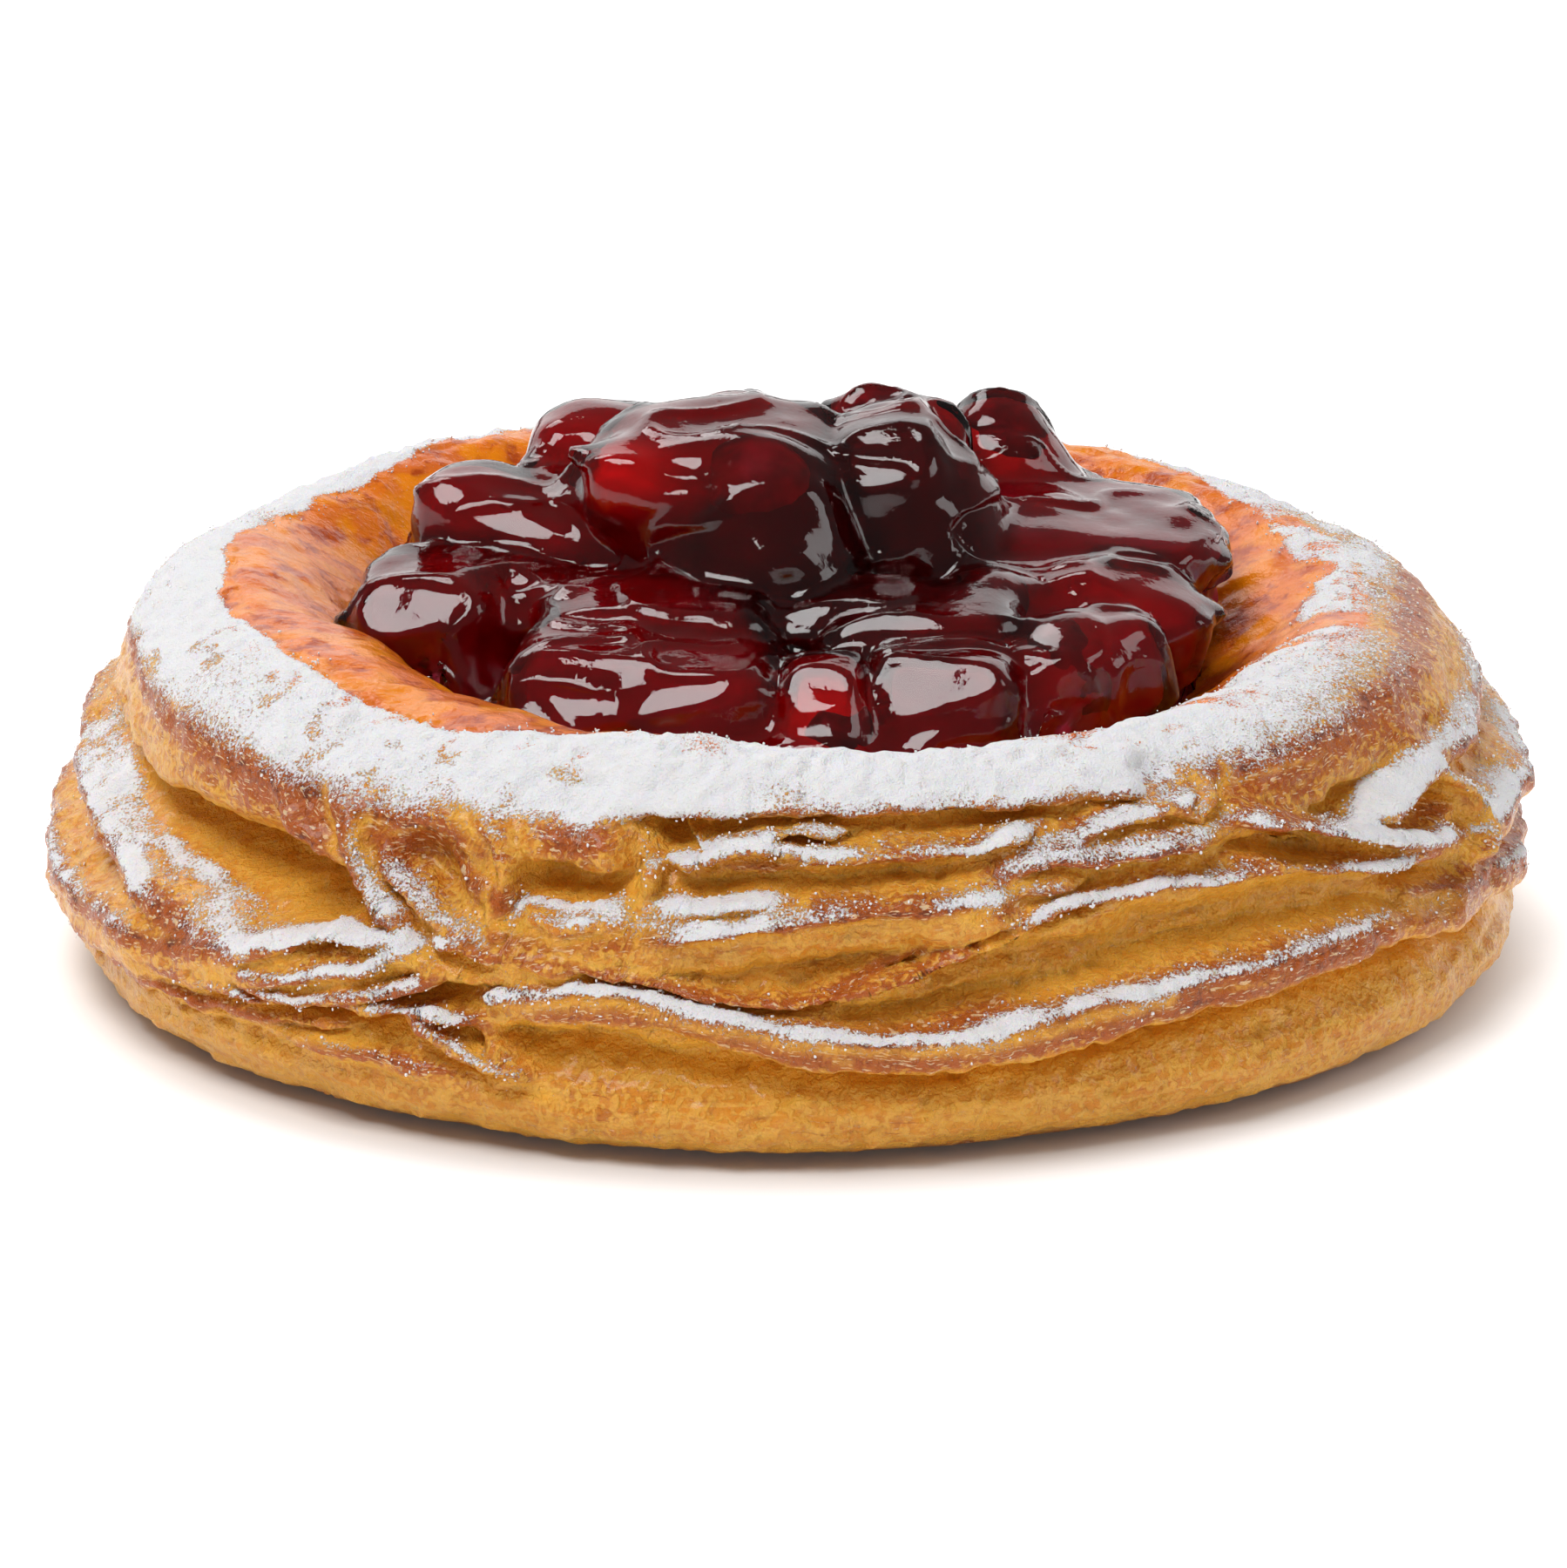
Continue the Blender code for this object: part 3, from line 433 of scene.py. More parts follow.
def ribbon_crest(ribbon, angle):
    """Height of a ribbon's crest at an angle, and how fully it stands out there: a ribbon
    tapers at its ends, and both are a little ragged."""
    span = ribbon.end - ribbon.start
    closed = span >= RING
    share = np.mod(angle - ribbon.start, RING) / span
    crest = smooth_through(ribbon.heights, share, closed)
    run = 1.0
    if not closed:
        run = smooth_step(share * span / RIBBON_TAPER) * smooth_step((1 - share) * span / RIBBON_TAPER)
    place = around(angle, 58.0, 40.0 * ribbon.reach)
    crest = rough(place, [(0.32, 5.0, 20), (0.16, 1.3, 21)], crest)
    return crest, run * rough(place, [(0.14, 7.0, 22), (0.06, 1.6, 23)], 1)


def ribbon_shape(ribbon, angle, height):
    """Relief of a ribbon at an angle and height, and its layers. Above its crest the relief
    falls as exp(-(u/shelf)^2), half of it over a wider height; below, it stays nearly full
    over the band, drops back, and then falls along a cosine over the underside. It is
    brownest at its crest, with sugar on its top and specks on its band."""
    crest, run = ribbon_crest(ribbon, angle)
    u = height - crest
    below = -u
    edge = 1.0 - 0.14 * np.square(np.clip(below / ribbon.band, 0, 1))
    past = below - ribbon.band
    fall = 0.5 + 0.5 * np.cos(math.pi * np.clip(past / ribbon.under, 0, 1))
    fall = fall * (1 - UNDERCUT * smooth_step(past / 0.6))
    ledge = LEDGE_SHARE * bell(u, ribbon.shelf)
    slope = (1 - LEDGE_SHARE) * bell(u, ribbon.shelf + SLOPE_HEIGHT)
    shape = np.where(u > 0, ledge + slope, edge * fall)
    baked = np.clip(run, 0, 1) * smooth_step((crest - 5.0) / 4.0)
    brown = baked * np.where(u > 0, bell(u, 0.7), 1 - smooth_step((below - 0.3) / 1.6))
    powder = ribbon.dust * np.where(u > 0, bell(u, ribbon.back), bell(below, 0.3))
    specks = ribbon.dust * np.where(u > 0, bell(u, ribbon.back + 0.9), np.exp(-below / 1.4))
    # The crease just under the band, where the undercut shades it, is painted the paler fold colour: partly
    # painted light
    crease = np.clip(run, 0, 1) * bell(past - 0.5, 0.5)
    return ribbon.reach * run * np.maximum(shape, 0.0), np.stack([brown, powder, specks, crease, u])


def patch_spread(patch, angle, height):
    """Square of how far a place is from a patch's middle, where its spread is 1."""
    aside = np.square(turned(angle, patch.angle) / patch.wide)
    return aside + np.square((height - patch.height) / patch.tall)


def side_relief(angle, height):
    """Relief of the side, and its layers. The relief of the ribbons is a twelfth-power mean,
    so that the furthest out leads and crossings stay soft, and their layers are weighted
    towards the one that leads. Hollows, flakes, grooves, strands and toasts follow."""
    total, layers = 1e-9, 0.0
    for ribbon in RIBBONS:
        relief, own = ribbon_shape(ribbon, angle, height)
        lead = relief ** LEADING
        total = total + lead
        layers = layers + lead * own
    relief, layers = total ** (1 / LEADING), layers / total
    dents = 0.0
    for hollow in HOLLOWS:
        dents = dents + hollow.much * np.exp(-patch_spread(hollow, angle, height) ** 1.7)
    step, edge = flakes(angle, height, layers[OVER])
    # Under each flake's edge, where it shades the layer below, the dough is painted the paler fold colour:
    # partly painted light
    layers[CREASE] = np.maximum(layers[CREASE], 0.7 * edge)
    wander = 0.35 * grain(around(angle + 0 * height, SIDE_RADIUS, height), 3.0, SEED + 30)
    relief = cut_grooves(relief - dents + step, layers, angle, height, wander)
    relief = lay_strands(relief, layers, angle, height, wander)
    for toast in TOASTS:
        layers[BROWN] += toast.much * np.exp(-patch_spread(toast, angle, height))
    return relief, layers


def flakes(angle, height, over):
    """Edges of thin layers on the faces of the folds: the relief grows slowly down each layer
    and drops at its edge, in patches; and how close each place is under such an edge."""
    place = around(angle + 0 * height, SIDE_RADIUS, height * 1.6)
    wave = rough(place, [(0.5, 14.0, 31), (0.22, 4.0, 32)])
    layer = (-over + 60.0) / FLAKE_HEIGHT + wave * 1.6
    share = layer - np.floor(layer)
    patch = smooth_step(0.5 + 1.8 * grain(place, 8.0, SEED + 33))
    patch = np.maximum(patch, smooth_step((6.0 - height) / 2.0)) * smooth_step((height - 0.6) / 1.0)
    step = FLAKE_DEPTH * patch * (share - 0.5) * smooth_step((1 - share) / 0.16)
    return step, patch * bell(share - 0.06, 0.09)


def seen(path, reach):
    """A path with its heights moved along the line of sight onto the side's own slope."""
    angles, heights = np.array(path, float).T
    radius = np.interp(heights, WALL_HEIGHTS, WALL_RADII)
    return np.stack([angles, heights + SIGHT_SLOPE * (radius + reach - SIDE_RADIUS)], -1)


def line_shape(line, reach, angle, height, wander):
    """How full a strand or groove is at each place, from 0 to 1, and how far to the left of
    its path: full on the path, falling as exp(-(d/wide)^3.2) to its left and sooner to its
    right, and tapered at its ends. d is the least distance to the stretches of its path."""
    path = seen(line.path, reach) * (MM_PER_DEGREE, 1.0)
    x, y = angle * MM_PER_DEGREE, height
    best = np.full(np.broadcast(x, y).shape, 99.0)
    side, along = np.ones_like(best), np.zeros_like(best)
    gone = 0.0
    whole = np.linalg.norm(np.diff(path, axis=0), axis=1).sum()
    for (x0, y0), (x1, y1) in zip(path[:-1], path[1:]):
        run = math.hypot(x1 - x0, y1 - y0)
        dx, dy = (x1 - x0) / run, (y1 - y0) / run
        t = np.clip((x - x0) * dx + (y - y0) * dy, 0, run)
        away = np.hypot(x - x0 - t * dx, y - y0 - t * dy)
        nearer = away < best
        best = np.where(nearer, away, best)
        side = np.where(nearer, dx * (y - y0) - dy * (x - x0), side)
        along = np.where(nearer, gone + t, along)
        gone += run
    signed = np.where(side > 0, best, -best) + wander
    width = np.where(signed > 0, line.wide, line.wide * line.sharp)
    taper = smooth_step((along + 0.6) / LINE_TAPER) * smooth_step((whole - along + 0.6) / LINE_TAPER)
    return taper * np.exp(-np.abs(signed / width) ** LINE_EDGE) * (best < 6), signed


def cut_grooves(relief, layers, angle, height, wander):
    """The relief less the grooves. The layers get their creases, which hold less sugar and are
    painted the paler fold colour, partly light painted over their shade.
    """
    for groove in GROOVES:
        full, _ = line_shape(groove, GROOVE_REACH, angle, height, wander)
        relief = relief - groove.depth * full
        layers[CREASE] = np.maximum(layers[CREASE], 0.9 * full)
        layers[POWDER] *= 1 - 0.6 * full
    return relief


def lay_strands(relief, layers, angle, height, wander):
    """The relief with each strand laid over it: where the strand is full, the relief rises to
    the strand's reach and the layers become the strand's own."""
    brown, powder, specks, crease, _ = layers
    for strand in STRANDS:
        full, signed = line_shape(strand, strand.reach, angle, height, wander)
        relief = relief + full * np.maximum(strand.reach - relief, 0.0)
        cover = np.clip(full * 1.3, 0, 1)
        on_top = smooth_step(signed / strand.wide + 0.9) * smooth_step(1.6 - signed / strand.wide)
        brown += cover * (strand.bake - brown)
        powder += cover * (strand.dust * on_top - powder)
        specks += cover * (strand.dust - specks)
        crease *= 1 - cover
        # Under a strand's lower edge, where its shadow falls, the dough is painted the paler fold colour:
        # partly painted light
        under = bell(signed + strand.wide * strand.sharp + 0.5, 0.45) * (full < 0.5)
        layers[CREASE] = np.maximum(crease, under * smooth_step(strand.reach / 4))
    return relief


def rim_rise(angle):
    """How far the rim is above its mean: the round is lowest at the front, and uneven."""
    a = np.radians(angle)
    tilt = 1.0 - 1.9 * np.cos(a) - 1.1 * np.sin(a)
    waves = 0.35 * np.cos(5 * a + 1.0) + 0.25 * np.cos(9 * a + 2.2)
    return tilt + waves - 0.7 * bump(angle, -32, 26)


def round_scale(angle):
    """The outline is a little wider from left to right than from front to back."""
    a = np.radians(angle)
    oval = 1.006 - 0.015 * np.cos(2 * a) - 0.006 * np.cos(a) + 0.007 * np.sin(a)
    return oval + 0.006 * np.cos(3 * a + 0.8) + 0.004 * np.cos(7 * a)


def glazed_swell(angle, radius):
    """How far the glazed dough between sugar and jelly swells up at the front left."""
    across = smooth_step((radius - 26.5) / 5.5) * smooth_step((43.5 - radius) / 9.0)
    return GLAZED_SWELL * bump(angle, -48, 46) * across


def bowl_pleats(angle, radius):
    """Height of the radial pleats on the slope of the bowl, which fade at the rim and floor."""
    a = np.radians(angle)
    fade = smooth_step((radius - 27.0) / 5.0) * smooth_step((43.0 - radius) / 4.0)
    waves = 0.48 * np.cos(7 * a + 0.4) + 0.32 * np.cos(13 * a + 1.7) + 0.2 * np.cos(21 * a)
    flaps = 0.0
    for start, lean in FLAPS:
        past = turned(angle - start, lean * (radius - 38.0))
        flaps = flaps + smooth_step(past / 1.6) * np.exp(-np.maximum(past, 0.0) / 16.0)
    return PLEAT_HEIGHT * fade * waves + FLAP_HEIGHT * fade * flaps


def pastry_section(angles, first, last, rows):
    """Radius, height and the layers (row, column) of the pastry between two shares of its
    section, read at equal shares of the section's own length."""
    steps = np.linspace(first, last, DENSE_ROWS)[:, None]
    radius = smooth_through([p[0] for p in SECTION], steps) * np.ones_like(angles)
    height = np.maximum(smooth_through([p[1] for p in SECTION], steps), 0.0) * np.ones_like(angles)
    inner = smooth_step((radius - 24.0) / 12.0)
    height = height + rim_rise(angles) * smooth_step((height - 6.0) / 20.0) * inner
    outer = smooth_step((radius - RIM_RADIUS - 0.5) / 4.0) * smooth_step((0.62 - steps) / 0.05)
    relief, layers = side_relief(angles, height)
    relief = relief * outer
    layers[:OVER] *= outer
    on_floor = smooth_step(height / 1.5)
    droop = 0.10 * relief * smooth_step((height - 4.0) / 4.0)
    radius = radius * (1 + (round_scale(angles) - 1) * smooth_step((radius - 20) / 20)) + relief * on_floor
    in_bowl = steps > 0.5
    height = height - droop + (bowl_pleats(angles, radius) + glazed_swell(angles, radius)) * in_bowl
    length = np.hypot(np.diff(radius, axis=0), np.diff(height, axis=0))
    along = np.vstack([np.zeros((1, length.shape[1])), np.cumsum(length, axis=0)])
    along = along / along[-1]
    share = np.linspace(0, 1, rows)
    read = [
        [np.interp(share, along[:, j], layer[:, j]) for j in range(along.shape[1])]
        for layer in (radius, height, *layers)
    ]
    return [np.array(layer).T for layer in read]


def column_angles():
    """Angles of the columns: evenly spaced shares, drawn together at the front."""
    share = np.arange(COLUMNS) / COLUMNS - 0.5
    return RING * share - FRONT_SHARE * RING / (2 * math.pi) * np.sin(2 * math.pi * share)


def grid_normals(points):
    """Unit normals of a closed ring of columns, from the differences along its two ways."""
    along = np.gradient(points, axis=0)
    across = np.roll(points, -1, axis=1) - np.roll(points, 1, axis=1)
    normal = np.cross(across, along)
    return normal / np.maximum(np.linalg.norm(normal, axis=-1, keepdims=True), 1e-9)


def ring_faces(rows, columns):
    """Quads of a grid whose columns close into a ring."""
    row, column = np.meshgrid(np.arange(rows - 1), np.arange(columns), indexing="ij")
    after = (column + 1) % columns
    quads = np.stack([row * columns + column, row * columns + after,
                      (row + 1) * columns + after, (row + 1) * columns + column], -1)
    return quads.reshape(-1, 4)


def fan_faces(ring, pole):
    """Triangles from a ring of vertices to a pole."""
    return np.stack([ring, np.roll(ring, -1), np.full_like(ring, pole)], -1)


def mesh_piece(name, points, quads, triangles=None, fields=None, shift=(0.0, 0.0)):
    """Makes an object from points in millimetres, its faces, and named values per point."""
    mesh = bpy.data.meshes.new(name)
    loops = [quads.ravel()]
    sizes = [np.full(len(quads), 4)]
    if triangles is not None:
        loops.append(triangles.ravel())
        sizes.append(np.full(len(triangles), 3))
    loops, sizes = np.concatenate(loops), np.concatenate(sizes)
    starts = np.concatenate([[0], np.cumsum(sizes)[:-1]])
    placed = points + (shift[0], shift[1], 0.0)
    mesh.vertices.add(len(points))
    mesh.vertices.foreach_set("co", (placed * MM).astype(np.float32).ravel())
    mesh.loops.add(len(loops))
    mesh.loops.foreach_set("vertex_index", loops.astype(np.int32))
    mesh.polygons.add(len(sizes))
    mesh.polygons.foreach_set("loop_start", starts.astype(np.int32))
    mesh.update(calc_edges=True)
    mesh.validate()
    mesh.shade_smooth()
    for key, values in (fields or {}).items():
        layer = mesh.attributes.new(key, "FLOAT", "POINT")
        layer.data.foreach_set("value", np.asarray(values, np.float32).ravel())
    return in_scene(name, mesh)


def in_scene(name, data):
    """A new object of the scene that shows data."""
    thing = bpy.data.objects.new(name, data)
    bpy.context.scene.collection.objects.link(thing)
    return thing


def softened(layer, rounds):
    """The grid with each row eased towards its neighbours by (1, 2, 1) / 4, some rounds over,
    and half as much along the columns. The first and the last row stay."""
    for _ in range(rounds):
        layer = layer.copy()
        layer[1:-1] = 0.25 * layer[:-2] + 0.5 * layer[1:-1] + 0.25 * layer[2:]
        layer = 0.125 * np.roll(layer, 1, 1) + 0.75 * layer + 0.125 * np.roll(layer, -1, 1)
    return layer


def crust_grid():
    """Angles, and radius, height and layers (row, column) of the whole crust, from the edge of
    its base over the rim to the floor of the bowl. Its folds are rounded a little, and its rim
    rolls a good deal at the left and the right."""
    angles = column_angles()
    side = pastry_section(angles, 0.0, RIM_SHARE, SIDE_ROWS)
    bowl = pastry_section(angles, RIM_SHARE, 1.0, BOWL_ROWS)
    radius, height, *layers = (np.vstack([a, b[1:]]) for a, b in zip(side, bowl))
    high = smooth_step((height - 20.0) / 4.0)
    roll = high * (bump(angles, -72, 44) + bump(angles, 74, 44))
    radius, height = softened(radius, 1), softened(height, 1)
    rounder_radius, rounder_height = softened(radius, 34), softened(height, 34)
    radius = radius + (rounder_radius - radius) * roll
    height = height + (rounder_height - height) * roll
    return angles, radius, height, layers


def furthest_above(radius):
    """The radius that shades each place of the side: the largest at or above it."""
    return np.maximum.accumulate(radius[SIDE_ROWS - 1::-1], axis=0)[::-1]


def rim_sugar(angles, height, normal, points):
    """Sugar on the rim, down to its ragged foot on the side. It is thinner in patches, lets the
    dough through in freckles, and lies less on steep places."""
    foot = smooth_round(SUGAR_FOOT, angles)
    over_foot = height - foot[None] - 0.8 * layered_grain(points, 3.0, 42)
    soft = 1.6 + 3.0 * np.clip(bump(angles, -54, 40) + bump(angles, 66, 44), 0, 1)
    on_rim = smooth_step(over_foot / soft[None] + 0.5)
    on_rim[SIDE_ROWS:] = 1.0
    thin = smooth_step((layered_grain(points, 7.0, 43) - 0.10) / 0.45)
    patchy = 0.5 + 0.3 * bump(angles, 84, 60) - 0.26 * bump(angles, -62, 50)
    thin = thin * patchy + 0.14 * bump(angles, 90, 60)
    worn = smooth_step((grain(points, 9.0, SEED + 46) + 0.05) / 0.35)
    freckles = worn * smooth_step((layered_grain(points, 1.7, 45) - 0.12) / 0.25)
    steep = smooth_step((0.25 - normal[..., 2]) / 0.5)
    return on_rim * (1 - thin) * (1 - 0.5 * steep) * (1 - 0.42 * freckles)


def fold_sugar(angles, radius, height, layers, normal, points):
    """Sugar on the folds. It falls straight down, so a fold gets some where none above it
    reaches further out and where it is flat, with specks beside it. It lies in streaks along
    the folds, and thinner away from the front."""
    open_sky = np.ones_like(radius)
    open_sky[:SIDE_ROWS] = smooth_step((radius[:SIDE_ROWS] - furthest_above(radius) + 0.9) / 1.0)
    flat = smooth_step((normal[..., 2] - 0.28) / 0.45)
    uneven = 1.0 + 0.9 * layered_grain(points * (0.6, 0.6, 1.4), 5.0, 41)
    along = around(angles[None] + 0 * radius, 16.0, radius + 0.6 * height)
    streaks = layered_grain(along, 2.2, 44)
    uneven = uneven * (1.0 + 1.8 * streaks) * (0.62 + 0.38 * bump(angles, 0, 130))
    away = 1 - bump(angles, 0, 84)
    gaps = smooth_step((layered_grain(points, 1.3, 47) + 0.05) / 0.35)
    lying = open_sky * (flat * layers[POWDER] + 0.30 * layers[SPECKS])
    return lying * uneven * (1 - 0.45 * away * gaps)


def dusting(angles, radius, height, layers, normal, points):
    """How much sugar lies on each place, out of its ragged inner edge in the bowl."""
    rim = rim_sugar(angles, height, normal, points)
    side = fold_sugar(angles, radius, height, layers, normal, points)
    edge = smooth_round(SUGAR_EDGE, angles)
    ragged = 1.5 * layered_grain(points, 4.0, 40)
    inside = smooth_step((radius - edge[None] - ragged + 0.5) / 1.0)
    inside[:SIDE_ROWS - RIM_ROWS] = 1.0
    return np.clip(np.maximum(rim, side) * inside, 0, 1)


def crust_fields(angles, radius, height, layers, sugar):
    """Named values per point of the crust: sugar, browning, how deep in a fold, which paints the folds
    a paler colour, partly light painted over their shade, place across the layers of dough, wetness
    beside the jelly, and glaze."""
    low, far = height[:SIDE_ROWS], radius[:SIDE_ROWS]
    fold = np.zeros_like(radius)
    fold[:SIDE_ROWS] = smooth_step((furthest_above(radius) - far - 0.4) / 3.6)
    fold[:SIDE_ROWS] *= smooth_step((low - 1.0) / 3.0)
    in_bowl = np.ones_like(radius)
    in_bowl[:SIDE_ROWS] = 1 - smooth_step(low / 2.0)
    in_bowl[:SIDE_ROWS] += smooth_step((low - 20.0) / 3.0) * smooth_step((47.0 - far) / 1.2)
    edge = smooth_round(JELLY_EDGE, angles)
    foot = 0.3 * (1 - smooth_step(height / 6.0))
    return {
        "sugar": sugar,
        "bake": np.clip(layers[BROWN] + foot, 0, 1),
        "fold": np.clip(fold + 0.8 * layers[CREASE], 0, 1),
        "ply": layers[OVER],
        "wet": in_bowl * smooth_step((edge[None] + 2.6 - radius) / 2.2),
        "glaze": in_bowl * smooth_step(height / 3.0),
    }


def skin_rise(angles, height, layers, sugar, points):
    """How far the skin stands out of the crust's smooth form: lumps, warts, pores and the
    edges of leaves on the side, blisters in the bowl, and the sugar's own clumps."""
    side_part = np.zeros_like(height)
    side_part[:SIDE_ROWS] = smooth_step(height[:SIDE_ROWS] / 2.0)
    lumps = rough(points, [(0.26, 6.0, 1), (0.18, 2.4, 2), (0.15, 1.0, 3)])
    lumps = lumps + 0.14 * np.clip(2.0 * grain(points, 0.8, SEED + 10), 0, 1)
    pores = smooth_step((grain(points, 1.1, SEED + 11) - 0.62) / 0.12)
    lumps = lumps - 0.30 * pores * (1 - smooth_step(layers[BROWN] * 2))
    lumps = lumps * (1 - 0.5 * bump(angles, 90, 60) - 0.3 * bump(angles, -90, 50))
    leaf = np.stack([points[..., 0] * 0.16, points[..., 1] * 0.16, layers[OVER]], -1)
    leaves = rough(leaf, [(0.20, 0.8, 4), (0.12, 0.4, 8)])
    clumps = rough(points, [(0.22, 0.8, 5), (0.20, 2.2, 9)], 0.14)
    blisters = rough(points, [(0.22, 3.2, 6), (0.10, 1.2, 7)])
    on_top = smooth_step(height / 3.0) * (1 - side_part)
    return side_part * (lumps + leaves * (1 - sugar)) + sugar * clumps + blisters * on_top


def crust_part(name, rows, points, normal, fields, shift, centre):
    """One piece of the crust: a band of its rows, closed by a fan to a centre on its axis. The
    fan is at the first row for the side and at the last for the bowl."""
    count = rows.stop - rows.start
    ring = np.arange(COLUMNS)
    under = rows.start == 0
    fan = fan_faces(ring[::-1] if under else ring + (count - 1) * COLUMNS, count * COLUMNS)
    spots = np.vstack([points[rows].reshape(-1, 3), (0.0, 0.0, centre)])
    values = {key: np.append(value[rows].ravel(), 0.0) for key, value in fields.items()}
    piece = mesh_piece(name, spots, ring_faces(count, COLUMNS), fan, values, shift)
    turned_out = np.vstack([normal[rows].reshape(-1, 3), (0, 0, -1.0 if under else 1.0)])
    piece.data.normals_split_custom_set_from_vertices(turned_out.tolist())
    return piece


def make_crust(surface):
    """The crust in two pieces that meet along the rim's crest: its side and its bowl. Gives
    back how far the whole is moved, and its points, normals and sugar."""
    angles, radius, height, layers = crust_grid()
    points = around(angles[None] + 0 * radius, radius, height)
    low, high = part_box("pastry")
    middle = (points.reshape(-1, 3).min(0) + points.reshape(-1, 3).max(0)) / 2
    shift = (np.array(low) + np.array(high)) / 2 / MM - middle
    shift[2] = 0.0
    normal = grid_normals(points)
    sugar = dusting(angles, radius, height, layers, normal, points)
    points = points + normal * skin_rise(angles, height, layers, sugar, points)[..., None]
    points[..., 2] = np.maximum(points[..., 2], 0.0)
    normal = grid_normals(points)
    fields = crust_fields(angles, radius, height, layers, sugar)
    side, bowl = slice(0, SIDE_ROWS), slice(SIDE_ROWS - 1, len(radius))
    for name, rows, centre in (("crust_side", side, 0.0), ("crust_bowl", bowl, FLOOR_HEIGHT)):
        piece = crust_part(name, rows, points, normal, fields, shift, centre)
        piece.data.materials.append(surface)
        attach(piece, "root")
    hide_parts("pastry")
    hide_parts("pastry")
    return shift, points, normal, sugar


def make_grains(points, normal, sugar, shift, finish):
    """Clumps of sugar where it thins out: small uneven balls, each at a point of the crust that
    is drawn with a chance of sugar x (1 - sugar) times the area there, and a few strewn on the
    glaze inside the sugar's edge."""
    rng = np.random.default_rng(SEED + 70)
    along = np.linalg.norm(np.gradient(points, axis=0), axis=-1)
    across = np.linalg.norm(np.roll(points, -1, axis=1) - points, axis=-1)
    near = sugar.copy()
    for _ in range(14):
        beside = near[SIDE_ROWS - 1:-2] + near[SIDE_ROWS + 1:]
        near[SIDE_ROWS:-1] = 0.5 * near[SIDE_ROWS:-1] + 0.25 * beside
    strewn = np.zeros_like(sugar)
    strewn[SIDE_ROWS:] = np.clip(near[SIDE_ROWS:] - sugar[SIDE_ROWS:], 0, 1) * 0.9
    chance = (np.clip(sugar * (1 - sugar) - 0.05, 0, 1) + strewn) * along * across
    place = rng.choice(sugar.size, GRAIN_COUNT, p=chance.ravel() / chance.sum())
    spots = points.reshape(-1, 3)[place] + rng.uniform(-0.2, 0.2, (GRAIN_COUNT, 3))
    directions = ball(2, 5)
    quads, triangles = ball_faces(2, 5)
    size = rng.uniform(*GRAIN_SIZE, (GRAIN_COUNT, 1, 3)) * rng.uniform(0.6, 1.2, (GRAIN_COUNT, 1, 1))
    lift = normal.reshape(-1, 3)[place][:, None] * 0.04
    shapes = directions[None] * size * rng.uniform(0.75, 1.2, (GRAIN_COUNT, len(directions), 1))
    shapes = shapes + spots[:, None] + lift
    shapes[..., 2] = np.maximum(shapes[..., 2], 0.02)
    first = np.arange(GRAIN_COUNT)[:, None, None] * len(directions)
    quads, triangles = (quads[None] + first).reshape(-1, 4), (triangles[None] + first).reshape(-1, 3)
    piece = mesh_piece("sugar_grains", shapes.reshape(-1, 3), quads, triangles, shift=shift)
    piece.data.materials.append(finish)
    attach(piece, "root")


def cherry_shape(directions, seed):
    """Share of a cherry's radius along each direction from its centre: an uneven ball with a
    stem dimple at its pole and a shallow furrow down one side, never past 1."""
    rng = np.random.default_rng(seed)
    squash = rng.uniform(0.90, 1.0, 3) * (1.0, 1.0, 0.93)
    waves = rng.normal(size=(4, 3)) * 2.2
    shifts = rng.uniform(0, 2 * math.pi, 4)
    lumps = np.cos(directions @ waves.T + shifts).sum(axis=-1) * 0.018
    dimple = 0.16 * bell(1.0 - directions[..., 2], 0.10)
    furrow = 0.05 * bell(directions[..., 0], 0.16) * smooth_step(directions[..., 1] + 0.2)
    share = np.linalg.norm(directions * squash, axis=-1) - dimple - furrow + lumps
    return np.minimum(share - 0.03, 1.0)


def random_turn(seed):
    """A fixed random rotation (the Q of a random matrix)."""
    rng = np.random.default_rng(seed + 100)
    turn, _ = np.linalg.qr(rng.normal(size=(3, 3)))
    if np.linalg.det(turn) < 0:
        turn[:, 0] *= -1
    return turn


def ball(rows, columns):
    """Directions over a ball from its upper pole down: rows of a closed grid, and two poles."""
    turn = math.pi * (np.arange(rows) + 1.0)[:, None] / (rows + 1)
    a = 2 * math.pi * np.arange(columns)[None] / columns
    grid = np.stack([np.sin(turn) * np.cos(a), np.sin(turn) * np.sin(a), np.cos(turn) + 0 * a], -1)
    return np.vstack([grid.reshape(-1, 3), (0, 0, 1.0), (0, 0, -1.0)])


def ball_faces(rows, columns):
    """Quads and triangles of a ball, facing outwards."""
    quads = ring_faces(rows, columns)[:, ::-1]
    ring = np.arange(columns)
    top = fan_faces(ring, rows * columns)
    bottom = fan_faces((ring + (rows - 1) * columns)[::-1], rows * columns + 1)
    return quads, np.vstack([top, bottom])


Fruit = namedtuple("Fruit", "name seed place radius turn")


def cherries_found():
    """Each cherry's name, seed, place, radius and turn, with the place and radius that make
    its own shape fill its node's box."""
    found = []
    directions = ball(CHERRY_ROWS, CHERRY_COLUMNS)
    names = [f"cherry_{group}_{i + 1}" for group, count in CHERRY_GROUPS for i in range(count)]
    for number, name in enumerate(names):
        seed = CHERRY_SEED + number
        turn = random_turn(seed)
        shape = (directions * cherry_shape(directions, seed)[:, None]) @ turn.T
        low, high = (np.array(corner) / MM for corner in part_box(name))
        radius = np.linalg.norm(high - low) / np.linalg.norm(shape.max(0) - shape.min(0))
        place = (low + high) / 2 - radius * (shape.max(0) + shape.min(0)) / 2
        found.append(Fruit(name, seed, place, radius, turn))
    return found


